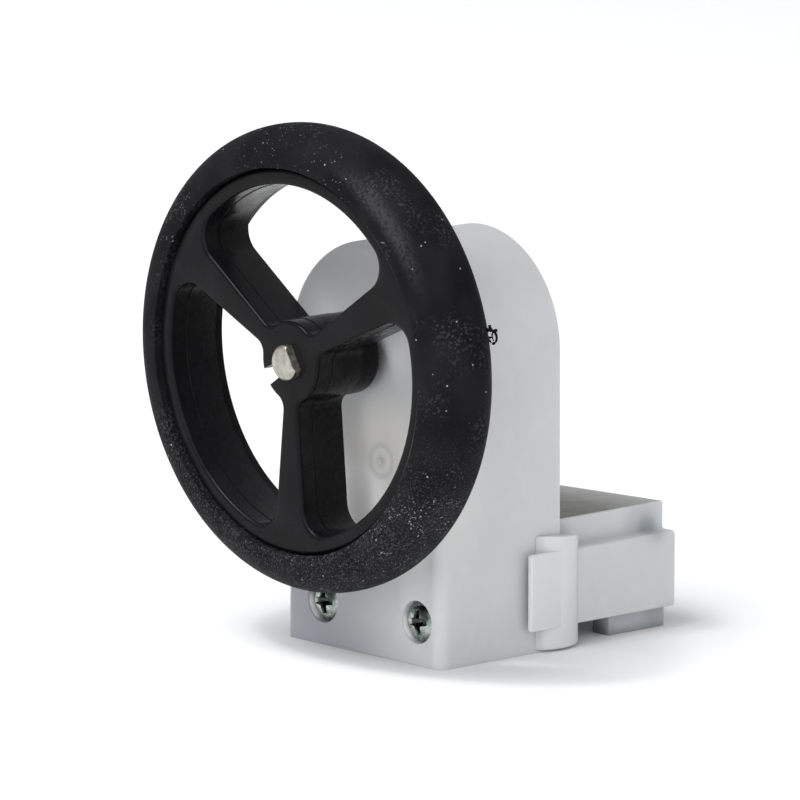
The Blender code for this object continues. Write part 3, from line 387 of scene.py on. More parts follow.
def window_outline(grow=0.0):
    """One of the wheel's windows, centred on +Z. grow widens it on every side."""
    rim_r = RIM_LIP_R + grow
    hub_r = HUB_R - grow
    hub_fillet = SPOKE_HUB_FILLET + grow
    flare = math.atan2(SPOKE_HALF_RIM - SPOKE_HALF_HUB, SPOKE_RIM_RADIUS - HUB_R)
    heading = math.radians(60)
    along = Vector((math.sin(heading - flare), math.cos(heading - flare)))
    normal = Vector((-along.y, along.x))
    spoke = Vector((math.sin(heading), math.cos(heading)))
    start = spoke * HUB_R + Vector((-spoke.y, spoke.x)) * (SPOKE_HALF_HUB - grow)

    def centre(distance, reach):
        """The centre of a fillet at this distance from the spoke's side and reach from the axis."""
        base = start + normal * distance
        b = base.dot(along)
        return base + along * (-b + math.sqrt(b * b - base.dot(base) + reach * reach))

    def angle(vector):
        return math.degrees(math.atan2(vector.y, vector.x))

    rim_centre = centre(SPOKE_RIM_FILLET, rim_r - SPOKE_RIM_FILLET)
    hub_centre = centre(hub_fillet, hub_r + hub_fillet)
    hub_touch, spoke_touch, rim_touch = angle(-hub_centre), angle(-normal), angle(rim_centre)
    whole_turn = 360 if spoke_touch < hub_touch else 0
    right = arc(hub_centre, hub_fillet, hub_touch, spoke_touch + whole_turn, 12)
    right += arc(rim_centre, SPOKE_RIM_FILLET, spoke_touch, rim_touch, 14)
    rim = arc((0, 0), rim_r, rim_touch, 180 - rim_touch, 48)[1:-1]
    left = [(-x, z) for x, z in reversed(right)]
    hub_angle = angle(hub_centre)
    hub = arc((0, 0), hub_r, 180 - hub_angle, hub_angle, 16)[1:-1]
    return right + rim + left + hub


def quarter(steps=5):
    """(distance along, distance in) of a quarter round of radius 1, from its flat face."""
    return [(1 - math.cos(math.pi / 2 * i / steps), 1 - math.sin(math.pi / 2 * i / steps))
            for i in range(steps + 1)]


# Procedural materials

class Finish:
    """A material's node tree, with the few building blocks that the finishes below share."""

    def __init__(self, name, colour, roughness, metallic=0.0, specular=0.5):
        self.material = bpy.data.materials.new(name)
        self.material.use_nodes = True
        self.tree = self.material.node_tree
        self.shader = self.tree.nodes["Principled BSDF"]
        self.shader.inputs["Base Color"].default_value = (*colour, 1.0)
        self.shader.inputs["Roughness"].default_value = roughness
        self.shader.inputs["Metallic"].default_value = metallic
        self.shader.inputs["Specular IOR Level"].default_value = specular
        self.place = self.node("ShaderNodeTexCoord").outputs["Object"]
        self.colour = None

    def node(self, kind, **settings):
        made = self.tree.nodes.new(kind)
        for key, value in settings.items():
            setattr(made, key, value)
        return made

    def link(self, source, target):
        self.tree.links.new(source, target)

    def stretched(self, scale, offset=(0, 0, 0)):
        """Object coordinates scaled by (x, y, z) and moved by offset, in metres."""
        mapping = self.node("ShaderNodeMapping")
        mapping.inputs["Scale"].default_value = scale
        mapping.inputs["Location"].default_value = offset
        self.link(self.place, mapping.inputs["Vector"])
        return mapping.outputs["Vector"]

    def noise(self, size, detail=3.0, vector=None):
        """Noise whose features are about size millimetres across."""
        made = self.node("ShaderNodeTexNoise")
        made.inputs["Scale"].default_value = 1 / (size * MM)
        made.inputs["Detail"].default_value = detail
        self.link(vector or self.place, made.inputs["Vector"])
        return made.outputs["Fac"]

    def between(self, value, low, high, out_low=0.0, out_high=1.0):
        """value from low to high, as out_low to out_high, clamped."""
        made = self.node("ShaderNodeMapRange", interpolation_type="SMOOTHSTEP")
        limits = {"From Min": low, "From Max": high, "To Min": out_low, "To Max": out_high}
        for key, number in limits.items():
            made.inputs[key].default_value = number
        self.link(value, made.inputs["Value"])
        return made.outputs["Result"]

    def times(self, first, second):
        made = self.node("ShaderNodeMath", operation="MULTIPLY")
        self.link(first, made.inputs[0])
        self.link(second, made.inputs[1])
        return made.outputs[0]

    def specks(self, spacing, radius, share, vector=None):
        """Round specks, spacing and radius in millimetres, in a share of the cells."""
        cells = self.node("ShaderNodeTexVoronoi")
        cells.inputs["Scale"].default_value = 1 / (spacing * MM)
        self.link(vector or self.place, cells.inputs["Vector"])
        size = radius / spacing
        spot = self.between(cells.outputs["Distance"], size, size * 0.5)
        split = self.node("ShaderNodeSeparateColor")
        self.link(cells.outputs["Color"], split.inputs["Color"])
        chosen = self.node("ShaderNodeMath", operation="LESS_THAN")
        chosen.inputs[1].default_value = share
        self.link(split.outputs["Red"], chosen.inputs[0])
        return self.times(spot, chosen.outputs[0])

    def near(self, centre, reach, stretch=(1, 1, 1)):
        """1 at a place, in millimetres, falling to 0 at reach from it."""
        offset = [-c * s * MM for c, s in zip(centre, stretch)]
        length = self.node("ShaderNodeVectorMath", operation="LENGTH")
        self.link(self.stretched(stretch, offset), length.inputs[0])
        return self.between(length.outputs["Value"], reach * MM, 0.0)

    def ring(self, centre, radius, width):
        """1 on a sphere's surface, in millimetres, falling to 0 at width from it."""
        length = self.node("ShaderNodeVectorMath", operation="LENGTH")
        self.link(self.stretched((1, 1, 1), [-c * MM for c in centre]), length.inputs[0])
        outside = self.between(length.outputs["Value"], (radius + width) * MM, radius * MM)
        inside = self.between(length.outputs["Value"], (radius - width) * MM, radius * MM)
        return self.times(outside, inside)

    def axis(self, name, low, high):
        """0 below low and 1 above high, in millimetres, along X, Y or Z."""
        split = self.node("ShaderNodeSeparateXYZ")
        self.link(self.place, split.inputs[0])
        return self.between(split.outputs[name], low * MM, high * MM)

    def mix(self, amount, colour):
        """Lays another colour over the colour so far, by amount."""
        made = self.node("ShaderNodeMix", data_type="RGBA")
        self.link(amount, made.inputs["Factor"])
        target = made.inputs[6]
        if self.colour:
            self.link(self.colour, target)
        else:
            target.default_value = self.shader.inputs["Base Color"].default_value
        made.inputs[7].default_value = (*colour, 1.0)
        self.colour = made.outputs[2]
        self.link(self.colour, self.shader.inputs["Base Color"])

    def rough(self, amount, low, high):
        self.link(self.between(amount, 0.3, 0.7, low, high), self.shader.inputs["Roughness"])

    def bump(self, height, strength, depth):
        """Bump of depth millimetres."""
        made = self.node("ShaderNodeBump")
        made.inputs["Strength"].default_value = strength
        made.inputs["Distance"].default_value = depth * MM
        self.link(height, made.inputs["Height"])
        normals = self.shader.inputs["Normal"]
        if normals.is_linked:
            self.link(normals.links[0].from_socket, made.inputs["Normal"])
        self.link(made.outputs["Normal"], normals)


def tyre_rubber():
    """Black rubber: dusty and grainy at the bottom, with a painted sheen, a painted highlight, on its crest
    at the upper right.
    """
    made = Finish("tyre_rubber", (0.0055, 0.0055, 0.0065), 0.56, specular=0.05)
    made.mix(made.between(made.noise(4.0), 0.35, 0.75), (0.012, 0.012, 0.0135))
    # painted highlight: a lighter sheen band on the crest's upper right, broken up by grain
    crest = made.ring((0, TYRE_LOW.y, AXIS_Z), 18.3, 1.25)
    painted_sheen = made.times(crest, made.near((12, TYRE_MIDDLE, AXIS_Z + 14), 11))
    painted_sheen = made.times(painted_sheen, made.between(made.noise(0.25, 4.0), 0.30, 0.62, 0.35, 1.0))
    made.mix(made.between(painted_sheen, 0.0, 0.8, 0.0, 0.7), (0.046, 0.046, 0.051))
    patches = made.between(made.noise(5.5, 4.0), 0.44, 0.70)
    grain = made.between(made.noise(0.30, 4.0), 0.50, 0.66)
    made.mix(made.between(made.times(grain, patches), 0.0, 1.0, 0.0, 0.6), (0.045, 0.045, 0.048))
    low = made.axis("Z", AXIS_Z + 2, AXIS_Z - 15)
    fine_grain = made.between(made.noise(0.16, 5.0), 0.45, 0.70)
    made.mix(made.between(made.times(fine_grain, low), 0.0, 1.0, 0.0, 0.8), (0.050, 0.050, 0.055))
    fine_dust = made.times(made.specks(0.26, 0.06, 0.35), low)
    made.mix(made.between(fine_dust, 0.0, 1.0, 0.0, 0.6), (0.15, 0.15, 0.155))
    fine = made.times(made.specks(0.24, 0.075, 0.45), patches)
    made.mix(made.between(fine, 0.0, 1.0, 0.0, 0.5), (0.11, 0.11, 0.115))
    regions = (((13, TYRE_MIDDLE, AXIS_Z - 12), 11, 0.65, 0.8),
               ((-2, TYRE_MIDDLE, AXIS_Z + 18), 8, 0.35, 0.5),
               ((5, TYRE_LOW.y, AXIS_Z + 16), 5, 0.4, 0.5),
               ((-14, TYRE_MIDDLE, AXIS_Z + 11), 8, 0.4, 0.5),
               ((2, TYRE_MIDDLE, AXIS_Z - 18), 9, 0.6, 0.6))
    cloud = made.between(made.noise(1.3, 3.0), 0.44, 0.60)
    for centre, reach, share, amount in regions:
        place = made.times(made.near(centre, reach), cloud)
        for spacing, radius in ((0.24, 0.065), (0.42, 0.10)):
            dust = made.times(made.specks(spacing, radius, share), place)
            made.mix(made.between(dust, 0.0, 0.7, 0.0, amount), (0.34, 0.34, 0.35))
    made.mix(made.specks(0.9, 0.10, 0.25), (0.30, 0.30, 0.31))
    made.mix(made.specks(2.6, 0.14, 0.28), (0.75, 0.75, 0.76))
    for stretch in ((1.0, 0.45, 0.16), (0.22, 0.6, 0.9)):
        hairs = made.specks(1.3, 0.07, 0.16, made.stretched(stretch))
        made.mix(made.between(hairs, 0.0, 1.0, 0.0, 0.8), (0.14, 0.14, 0.145))
    made.rough(made.noise(2.0), 0.52, 0.72)
    made.bump(made.noise(0.20, 4.0), 0.5, 0.04)
    return made.material


def black_plastic():
    """Glossy black moulded plastic with sparse dust and a painted highlight along the rim's front edge."""
    made = Finish("black_plastic", (0.0042, 0.0040, 0.0048), 0.25, specular=0.10)
    made.mix(made.between(made.noise(3.5), 0.4, 0.8), (0.0070, 0.0066, 0.0078))
    # painted highlight: a light line along the rim's rounded front edge, on its right
    edge = made.times(made.ring((0, WHEEL_FRONT, AXIS_Z), RIM_R - 0.26, 0.18),
                      made.near((14.5, WHEEL_FRONT, AXIS_Z + 3), 14))
    made.mix(made.between(edge, 0.0, 0.7, 0.0, 0.9), (0.24, 0.24, 0.25))
    made.mix(made.specks(1.5, 0.055, 0.30), (0.20, 0.20, 0.21))
    made.mix(made.specks(4.2, 0.10, 0.30), (0.45, 0.45, 0.46))
    made.rough(made.noise(1.2), 0.22, 0.32)
    made.bump(made.noise(0.25, 3.0), 0.30, 0.02)
    return made.material


def milky_plastic():
    """The milky white plastic that the tower's and the block's finishes start from."""
    made = Finish("milky_plastic", (0.60, 0.61, 0.62), 0.42, specular=0.42)
    made.shader.inputs["Subsurface Weight"].default_value = 0.35
    made.shader.inputs["Subsurface Radius"].default_value = (1.0, 1.0, 1.0)
    made.shader.inputs["Subsurface Scale"].default_value = 1.2 * MM
    made.mix(made.between(made.noise(9.0, 1.5), 0.35, 0.75, 0.0, 0.5), (0.55, 0.565, 0.58))
    made.mix(made.between(made.noise(1.6, 2.0), 0.45, 0.75, 0.0, 0.25), (0.66, 0.665, 0.665))
    made.mix(made.specks(3.4, 0.10, 0.10), (0.30, 0.29, 0.27))
    made.rough(made.noise(1.8), 0.36, 0.50)
    made.bump(made.noise(0.5, 2.0), 0.12, 0.02)
    return made


def tower_plastic():
    """Milky plastic for the tower: painted shade low down on its left and on its arch, painted light on its
    front behind the wheel and on the counterbores' walls, and its gate mark.
    """
    made = milky_plastic()
    made.material.name = "milky_plastic_tower"
    # painted shade: darker towards the tower's lower left, where the wheel shades its front
    low = made.times(made.axis("Z", 28, -4), made.axis("X", 10, -8))
    made.mix(made.between(low, 0.0, 0.9), (0.34, 0.35, 0.385))
    # painted shade: the arch darker towards its top, where less light falls
    made.mix(made.between(made.axis("Z", AXIS_Z, SHELL_HIGH.z), 0.0, 1.0, 0.0, 0.8), (0.42, 0.42, 0.425))
    # painted light: the tower's front lighter where it shows through the wheel's windows, against the
    # wheel's shade
    painted_light_through_window = made.near((3.5, TOWER_FRONT, 15), 11)
    made.mix(made.between(painted_light_through_window, 0.0, 0.6), (0.77, 0.76, 0.74))
    # painted light: near white behind the down spoke, where its shadow falls
    painted_light_behind_spoke = made.near((-1.0, TOWER_FRONT, 12.5), 6.5)
    made.mix(made.between(painted_light_behind_spoke, 0.0, 0.6), (0.99, 0.985, 0.975))
    gate = (GATE_X, TOWER_FRONT, GATE_Z)
    made.mix(made.between(made.ring(gate, GATE_R, 0.45), 0.0, 1.0, 0.0, 0.35), (0.50, 0.50, 0.51))
    made.mix(made.between(made.near(gate, 1.0), 0.0, 1.0, 0.0, 0.40), (0.46, 0.46, 0.48))
    for x in SCREW_XS:
        # painted light: the counterbore's lower left wall lighter, against its shade
        painted_light_wall = made.near((x - 1.5, TOWER_FRONT + 0.3, SCREW_Z - 0.7), 1.7)
        painted_light_wall = made.times(painted_light_wall, made.axis("Y", TOWER_FRONT + 0.10, TOWER_FRONT + 0.22))
        made.mix(made.between(painted_light_wall, 0.0, 0.7), (0.95, 0.96, 0.97))
    return made.material


def block_plastic():
    """Milky plastic for the block: painted shade on its top near the tower and on its feet, painted light on
    the pillars' and wings' outer faces, and the dark pin seen inside.
    """
    made = milky_plastic()
    made.material.name = "milky_plastic_block"
    # painted shade: the block's top darker near the tower, where the tower shades it
    top = made.times(made.axis("Z", FLANGE_TOP + 1.35, FLANGE_TOP + 1.7),
                     made.axis("X", BLOCK_HALF - 0.03, BLOCK_HALF - 0.25))
    top = made.times(top, made.axis("Y", BLOCK_BACK + 11, BLOCK_FRONT - 1))
    made.mix(made.between(top, 0.0, 0.9, 0.0, 0.95), (0.185, 0.178, 0.145))
    # painted light: the pillars' and wings' outer faces lighter, in front of the pillars' backs
    for low, high in ((10.05, 10.4), (-10.05, -10.4)):
        arm = made.times(made.axis("X", low, high), made.axis("Y", PILLAR_BACK + 0.1, PILLAR_BACK - 0.2))
        made.mix(made.between(arm, 0.0, 1.0, 0.0, 0.9), (0.70, 0.705, 0.71))
    # painted shade: the feet darker under the block
    foot = made.times(made.axis("Z", BLOCK_BOTTOM + 0.05, BLOCK_BOTTOM - 0.25),
                      made.axis("Y", FOOT_FRONT - 3, FOOT_FRONT - 2))
    made.mix(made.between(foot, 0.0, 1.0, 0.0, 0.8), (0.42, 0.44, 0.47))
    # painted shade: darker still towards the feet's soles
    painted_shade_sole = made.times(foot, made.axis("Z", 1.3, -0.3))
    made.mix(made.between(painted_shade_sole, 0.0, 1.0, 0.0, 0.6), (0.20, 0.22, 0.23))
    # The first three spots are the dark pin seen through the plastic; the last is painted shade low at the
    # front of the right foot.
    pin_and_painted_shade_spots = [((BLOCK_HALF, BLOCK_BACK - 2.0, 8.85), 1.9, 0.6, (0.19, 0.22, 0.26)),
             ((BLOCK_HALF, BLOCK_BACK - 2.6, 9.4), 3.6, 0.35, (0.30, 0.33, 0.36)),
             ((FOOT_OUTER, BLOCK_BACK - 1.2, 1.0), 2.4, 0.4, (0.25, 0.28, 0.29)),
             ((FOOT_INNER, FOOT_FRONT, 0.2), 1.9, 0.8, (0.10, 0.11, 0.12))]
    for centre, reach, share, colour in pin_and_painted_shade_spots:
        spot = made.near(centre, reach, (0.5, 1, 1))
        made.mix(made.between(spot, 0.0, 1.0, 0.0, share), colour)
    return made.material


def metal(name, colour, other, roughness, patch=1.2, scratch=0.3):
    """The finish of bare metal: cloudy colour, uneven polish and fine marks."""
    made = Finish(name, colour, roughness, metallic=1.0)
    made.mix(made.between(made.noise(patch), 0.35, 0.7), other)
    made.rough(made.noise(patch * 0.7), roughness * 0.8, roughness * 1.35)
    made.bump(made.noise(scratch, 4.0), 0.25, 0.01)
    return made


def steel():
    return metal("steel", (0.37, 0.355, 0.315), (0.50, 0.48, 0.43), 0.36, 0.5).material


def zinc():
    """Zinc plating, with painted shade in the cross recess and on the head's upper right."""
    made = metal("zinc", (0.34, 0.38, 0.36), (0.56, 0.60, 0.55), 0.24, 0.45)
    made.mix(made.between(made.noise(0.8), 0.48, 0.68, 0.0, 0.85), (0.15, 0.20, 0.19))
    head = cad_box("cover_screw_left")[0].y
    for x in SCREW_XS:
        # painted shade: a dark crescent on the head's upper right
        painted_shade_side = made.near((x + 0.95, 0, SCREW_Z + 0.95), 1.25, (1, 0, 1))
        made.mix(made.between(painted_shade_side, 0.05, 0.6, 0.0, 0.9), (0.045, 0.052, 0.052))
        # painted shade: the cross recess darker than the head around it
        recess = made.times(made.near((x, 0, SCREW_Z), 1.6, (1, 0, 1)),
                            made.axis("Y", head + 0.15, head + 0.5))
        made.mix(made.between(recess, 0.1, 0.3, 0.0, 0.92), (0.030, 0.036, 0.035))
    return made.material


def brass():
    return metal("brass", (0.72, 0.55, 0.26), (0.80, 0.64, 0.34), 0.28).material


def copper():
    made = metal("copper", (0.70, 0.32, 0.16), (0.80, 0.42, 0.22), 0.34)
    turns = made.node("ShaderNodeTexWave", bands_direction="Z")
    turns.inputs["Scale"].default_value = 1 / (1.1 * MM)
    made.link(made.place, turns.inputs["Vector"])
    made.bump(turns.outputs["Fac"], 0.5, 0.06)
    return made.material


def moulded(name, colour, other, roughness):
    """Plain moulded plastic with cloudy colour and a fine skin."""
    made = Finish(name, colour, roughness, specular=0.4)
    made.mix(made.between(made.noise(2.5), 0.4, 0.7), other)
    made.mix(made.specks(2.2, 0.06, 0.2), [min(1.0, c * 1.6 + 0.1) for c in colour])
    made.rough(made.noise(1.5), roughness * 0.85, roughness * 1.15)
    made.bump(made.noise(0.3, 3.0), 0.2, 0.015)
    return made.material


MATERIALS = {
    "tyre_rubber": tyre_rubber(),
    "black_plastic": black_plastic(),
    "milky_plastic": block_plastic(),
    "steel": steel(),
    "zinc": zinc(),
    "brass": brass(),
    "copper": copper(),
    "gear_plastic": moulded("gear_plastic", (0.74, 0.72, 0.66), (0.80, 0.78, 0.72), 0.38),
    "magnet": moulded("magnet", (0.050, 0.050, 0.055), (0.075, 0.073, 0.075), 0.60),
    "red_insulation": moulded("red_insulation", (0.45, 0.025, 0.02), (0.52, 0.04, 0.03), 0.45),
    "dark_plastic": moulded("dark_plastic", (0.020, 0.020, 0.022), (0.030, 0.030, 0.033), 0.45),
}
TOWER_PLASTIC = tower_plastic()
TOWER_NODES = ("gearbox_shell", "rear_cover")


def dress(made, slot_name, body, *nodes, material=None):
    """Gives a finished piece the material for its slot, puts it on its body and hides the CAD nodes that it
    stands for.
    """
    made.data.materials.clear()
    made.data.materials.append(material or MATERIALS[slot_name])
    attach(made, body)
    if nodes:
        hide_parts(*nodes)
    return made


# The wheel and its tyre

def tyre():
    half = TYRE_WIDTH / 2
    corner = 0.12
    shoulder = TYRE_BORE_R + corner
    steps = 56
    profile = []
    for i in range(steps + 1):
        s = math.cos(math.pi * i / steps)
        rise = (1 - abs(s) ** TYRE_CROWN) ** (1 / TYRE_CROWN)
        profile.append((shoulder + (TYRE_R - shoulder) * rise, s * half))
    profile += [(TYRE_BORE_R + 0.03, -half + 0.02), (TYRE_BORE_R, -half + corner)]
    profile += [(TYRE_BORE_R, half - corner), (TYRE_BORE_R + 0.03, half - 0.02)]
    profile = [(r, TYRE_MIDDLE + h) for r, h in profile]
    made = revolve("tyre_moulded", profile, (0, AXIS_Z), steps=AROUND)
    return dress(shade(made, 50), "tyre_rubber", "output", "tyre")


def window_cutter(name, degrees):
    """A loft of the window's outline: rounded front edge, parting groove, soft back edge."""
    end = SPOKE_DEPTH
    layers = [(-1.0, WINDOW_EDGE)]
    layers += [(WINDOW_EDGE * along, WINDOW_EDGE * inward) for along, inward in quarter(6)]
    layers += [(PARTING_DEPTH - 0.05, 0.0), (PARTING_DEPTH, PARTING_GROOVE),
               (PARTING_DEPTH + 0.05, -PARTING_STEP), (end - 0.14, -PARTING_STEP),
               (end - 0.05, -PARTING_STEP + 0.03), (RIM_DEPTH + 1.0, -BACK_CLEARANCE)]
    rings = []
    for depth, grow in layers:
        outline = shifted(turned_by(window_outline(grow), degrees), (0, AXIS_Z))
        rings.append(across("Y", outline, WHEEL_FRONT + depth))
    return loft(name, rings)


def wheel():
    back = RIM_DEPTH
    corner = 0.12
    hub = [(HUB_R - HUB_EDGE * inward, HUB_LENGTH - HUB_EDGE * along) for along, inward in quarter(6)]
    back_edge = [(RIM_R - RIM_EDGE * inward, back - RIM_EDGE * along) for along, inward in quarter()]
    front_edge = [(RIM_R - RIM_EDGE * inward, RIM_EDGE * along) for along, inward in reversed(quarter())]
    profile = ([(0, HUB_LENGTH)] + hub + [(HUB_R, SPOKE_DEPTH + corner), (HUB_R + corner, SPOKE_DEPTH)]
               + [(RIM_POCKET_R - corner, SPOKE_DEPTH), (RIM_POCKET_R, SPOKE_DEPTH + corner)]
               + [(RIM_POCKET_R, back - 0.1), (RIM_POCKET_R + 0.1, back)]
               + back_edge + front_edge + [(0, 0)])
    profile = [(r, WHEEL_FRONT + h) for r, h in profile]
    made = revolve("wheel_moulded", profile, (0, AXIS_Z), steps=AROUND)
    ends = (WHEEL_FRONT - 1, WHEEL_FRONT + HUB_LENGTH + 1)
    d_section = shifted(d_outline(SHAFT_R + RUNNING_GAP, SHAFT_R - FLAT_DEPTH + RUNNING_GAP), (0, AXIS_Z))
    notch_end = HUB_R + 0.8
    slot = filleted([(NOTCH_START, -NOTCH_THROAT / 2, 0.0), (notch_end, -NOTCH_MOUTH / 2, 0.0),
                     (notch_end, NOTCH_MOUTH / 2, 0.0), (NOTCH_START, NOTCH_THROAT / 2, 0.0)])
    slot = shifted(turned_by(slot, 210), (0, AXIS_Z))
    boolean(made, "DIFFERENCE", *[window_cutter(f"window_{i}", 120 * i) for i in range(3)],
            plain_prism("bore", d_section, *ends), plain_prism("notch", slot, *ends))
    return dress(shade(made), "black_plastic", "output", "wheel")


def shaft():
    low, high = SHAFT_LOW.y, SHAFT_HIGH.y
    edge = SHAFT_CHAMFER
    profile = [(0, low), (SHAFT_R - edge, low), (SHAFT_R, low + edge),
               (SHAFT_R, high - edge), (SHAFT_R - edge, high), (0, high)]
    made = revolve("output_shaft_end", profile, (0, AXIS_Z))
    flat = SHAFT_R - FLAT_DEPTH
    block = [(flat, -2), (flat + 2, -2), (flat + 2, 2), (flat, 2)]
    block = shifted(turned_by(block, 30), (0, AXIS_Z))
    boolean(made, "DIFFERENCE", plain_prism("flat", block, low - 1, TOWER_FRONT - 1.0))
    return dress(shade(soften(made, 0.05), 30), "steel", "output", "output_shaft")


def curl(points, radius):
    """A tapered, bent sliver along points, in millimetres."""
    curve = bpy.data.curves.new("curl", "CURVE")
    curve.dimensions = "3D"
    curve.bevel_depth = radius * MM
    curve.bevel_resolution = 3
    curve.use_fill_caps = True
    spline = curve.splines.new("NURBS")
    spline.points.add(len(points) - 1)
    for i, (point, position) in enumerate(zip(spline.points, points)):
        point.co = (*(Vector(position) * MM), 1.0)
        point.radius = 1.0 - 0.6 * i / (len(points) - 1)
    spline.use_endpoint_u = True
    made = bpy.data.objects.new("curl", curve)
    bpy.context.scene.collection.objects.link(made)
    return made


def merged(name, pieces):
    """One mesh piece from several objects, which are removed."""
    bpy.context.view_layer.update()
    graph = bpy.context.evaluated_depsgraph_get()
    bm = bmesh.new()
    for piece in pieces:
        mesh = bpy.data.meshes.new_from_object(piece.evaluated_get(graph))
        mesh.transform(piece.matrix_world)
        bm.from_mesh(mesh)
        bpy.data.objects.remove(piece, do_unlink=True)
    bmesh.ops.scale(bm, vec=(1 / MM, 1 / MM, 1 / MM), verts=bm.verts)
    return mesh_piece(name, bm)


def tyre_flash():
    """A tuft of rubber flash, torn loose at the tyre's back shoulder: two curls and a few strands."""
    rng = random.Random(11)
    a = math.radians(FLASH_ANGLE)
    root = Vector((FLASH_R * math.cos(a), TYRE_HIGH.y - 0.9, AXIS_Z + FLASH_R * math.sin(a)))
    out = Vector((0.45, 0.85, 0.0)).normalized()
    up = Vector((0, 0, 1))
    pieces = []
    for high, low, reach, turn in ((0.75, -0.35, 0.55, -1.0), (0.25, -0.95, 0.65, 1.0)):
        points = []
        for k in range(17):
            t = k / 16
            around = math.tau * 1.15 * t * turn
            middle = root + out * (0.05 + 0.5 * reach * t) + up * (high + (low - high) * t)
            swing = out * (math.cos(around) - 1) * -0.25 + up * math.sin(around) * 0.28
            points.append(middle + swing)
        pieces.append(curl(points, rng.uniform(0.12, 0.15)))
    for _ in range(4):
        start = root + up * rng.uniform(-0.5, 0.5) - out * 0.3
        reach = rng.uniform(0.4, 0.7)
        rise = rng.uniform(-0.4, 0.3)
        points = []
        for k in range(7):
            t = k / 6
            points.append(start + out * (reach * math.sin(t * 2.0)) + up * rise * t)
        pieces.append(curl(points, rng.uniform(0.10, 0.14)))
    made = merged("tyre_flash", pieces)
    return dress(shade(made, 60), "tyre_rubber", "output")


def hub_flash():
    """Crumbs of moulding flash along the parting line, where the right spoke meets the hub."""
    rng = random.Random(3)
    pieces = []
    for i in range(7):
        bm = bmesh.new()
        bmesh.ops.create_icosphere(bm, subdivisions=2, radius=rng.uniform(0.06, 0.12))
        bmesh.ops.scale(bm, vec=(rng.uniform(0.8, 1.8), 0.8, rng.uniform(0.5, 1.0)), verts=bm.verts)
        a = math.radians(14 + 3.2 * i + rng.uniform(-1, 1))
        reach = HUB_R + 0.03
        y = WHEEL_FRONT + 1.1 + 0.24 * i + rng.uniform(-0.2, 0.2)
        for vertex in bm.verts:
            vertex.co *= 1 + rng.uniform(-0.2, 0.2)
        bmesh.ops.translate(bm, vec=(reach * math.cos(a), y, AXIS_Z + reach * math.sin(a)), verts=bm.verts)
        pieces.append(mesh_piece("crumb", bm))
    made = merged("hub_flash", pieces)
    return dress(shade(made, 60), "black_plastic", "output")


# The tower, its cover and its screws

def hole_profile(radius, depth, mouth=0.08):
    """A round hole from the tower's front, its mouth a little eased."""
    return [(0, TOWER_FRONT - 1), (radius + mouth, TOWER_FRONT - 1), (radius + mouth, TOWER_FRONT),
            (radius + 0.3 * mouth, TOWER_FRONT + 0.3 * mouth), (radius, TOWER_FRONT + mouth),
            (radius, TOWER_FRONT + depth), (0, TOWER_FRONT + depth)]


def gearbox_tower():
    rounding = [(TOWER_EDGE * along, TOWER_EDGE * inward) for along, inward in quarter(10)]
    back = TOWER_DEPTH
    layers = rounding + [(back - TOWER_BACK_EDGE, 0.0), (back, TOWER_BACK_EDGE)]
    rings = [across("Y", tower_outline(by), TOWER_FRONT + depth) for depth, by in layers]
    made = loft("gearbox_tower", rings)
    hollow = plain_prism("hollow", tower_outline(TOWER_WALL, TOWER_WALL),
                         TOWER_FRONT + TOWER_FRONT_WALL, TOWER_FRONT + back + 1)
    mouth = BUSH_LIP_R + 0.1
    seat_r = BUSH_R + RUNNING_GAP
    bush_seat = [(0, -1), (mouth, -1), (mouth, 0), (BUSH_LIP_R, 0.1), (BUSH_LIP_R, BUSH_SUNK - 0.03),
                 (seat_r, BUSH_SUNK - 0.03), (seat_r, 4), (0, 4)]
    cutters = [hollow, revolve("bush_hole", [(r, TOWER_FRONT + h) for r, h in bush_seat], (0, AXIS_Z))]
    screw_holes = (("counterbore", SCREW_HEAD_R, SCREW_SEAT), ("screw_hole", SCREW_R, 3.0))
    for x in SCREW_XS:
        for name, radius, depth in screw_holes:
            cutters.append(revolve(name, hole_profile(radius + RESTING_GAP, depth), (x, SCREW_Z)))
    dish = [(0, -0.2), (GATE_R + 0.35, -0.2), (GATE_R + 0.2, -0.02), (GATE_R + 0.05, 0.4 * GATE_DEPTH),
            (GATE_R - 0.12, GATE_DEPTH), (GATE_R - 0.4, 0.4 * GATE_DEPTH), (GATE_R - 0.6, 0.25 * GATE_DEPTH),
            (0.30, 0.25 * GATE_DEPTH), (0.20, 1.2 * GATE_DEPTH), (0, 1.2 * GATE_DEPTH)]
    cutters.append(revolve("gate_mark", [(r, TOWER_FRONT + h) for r, h in dish], (GATE_X, GATE_Z)))
    boolean(made, "DIFFERENCE", *cutters)
    return dress(shade(made, 30), "milky_plastic", "housing", "gearbox_shell", material=TOWER_PLASTIC)


def cover():
    by = TOWER_WALL + RESTING_GAP
    back = TOWER_FRONT + TOWER_DEPTH - RESTING_GAP
    made = rounded_prism("rear_cover_plate", tower_outline(by, by), back - COVER_THICKNESS, back,
                         edge=0.12)
    window = rectangle((-LEAD_WINDOW_HALF, LEAD_WINDOW_BOTTOM), (LEAD_WINDOW_HALF, LEAD_WINDOW_TOP), 0.2)
    boolean(made, "DIFFERENCE", plain_prism("window", window, back - 3, back + 1))
    return dress(shade(made), "milky_plastic", "housing", "rear_cover", material=TOWER_PLASTIC)


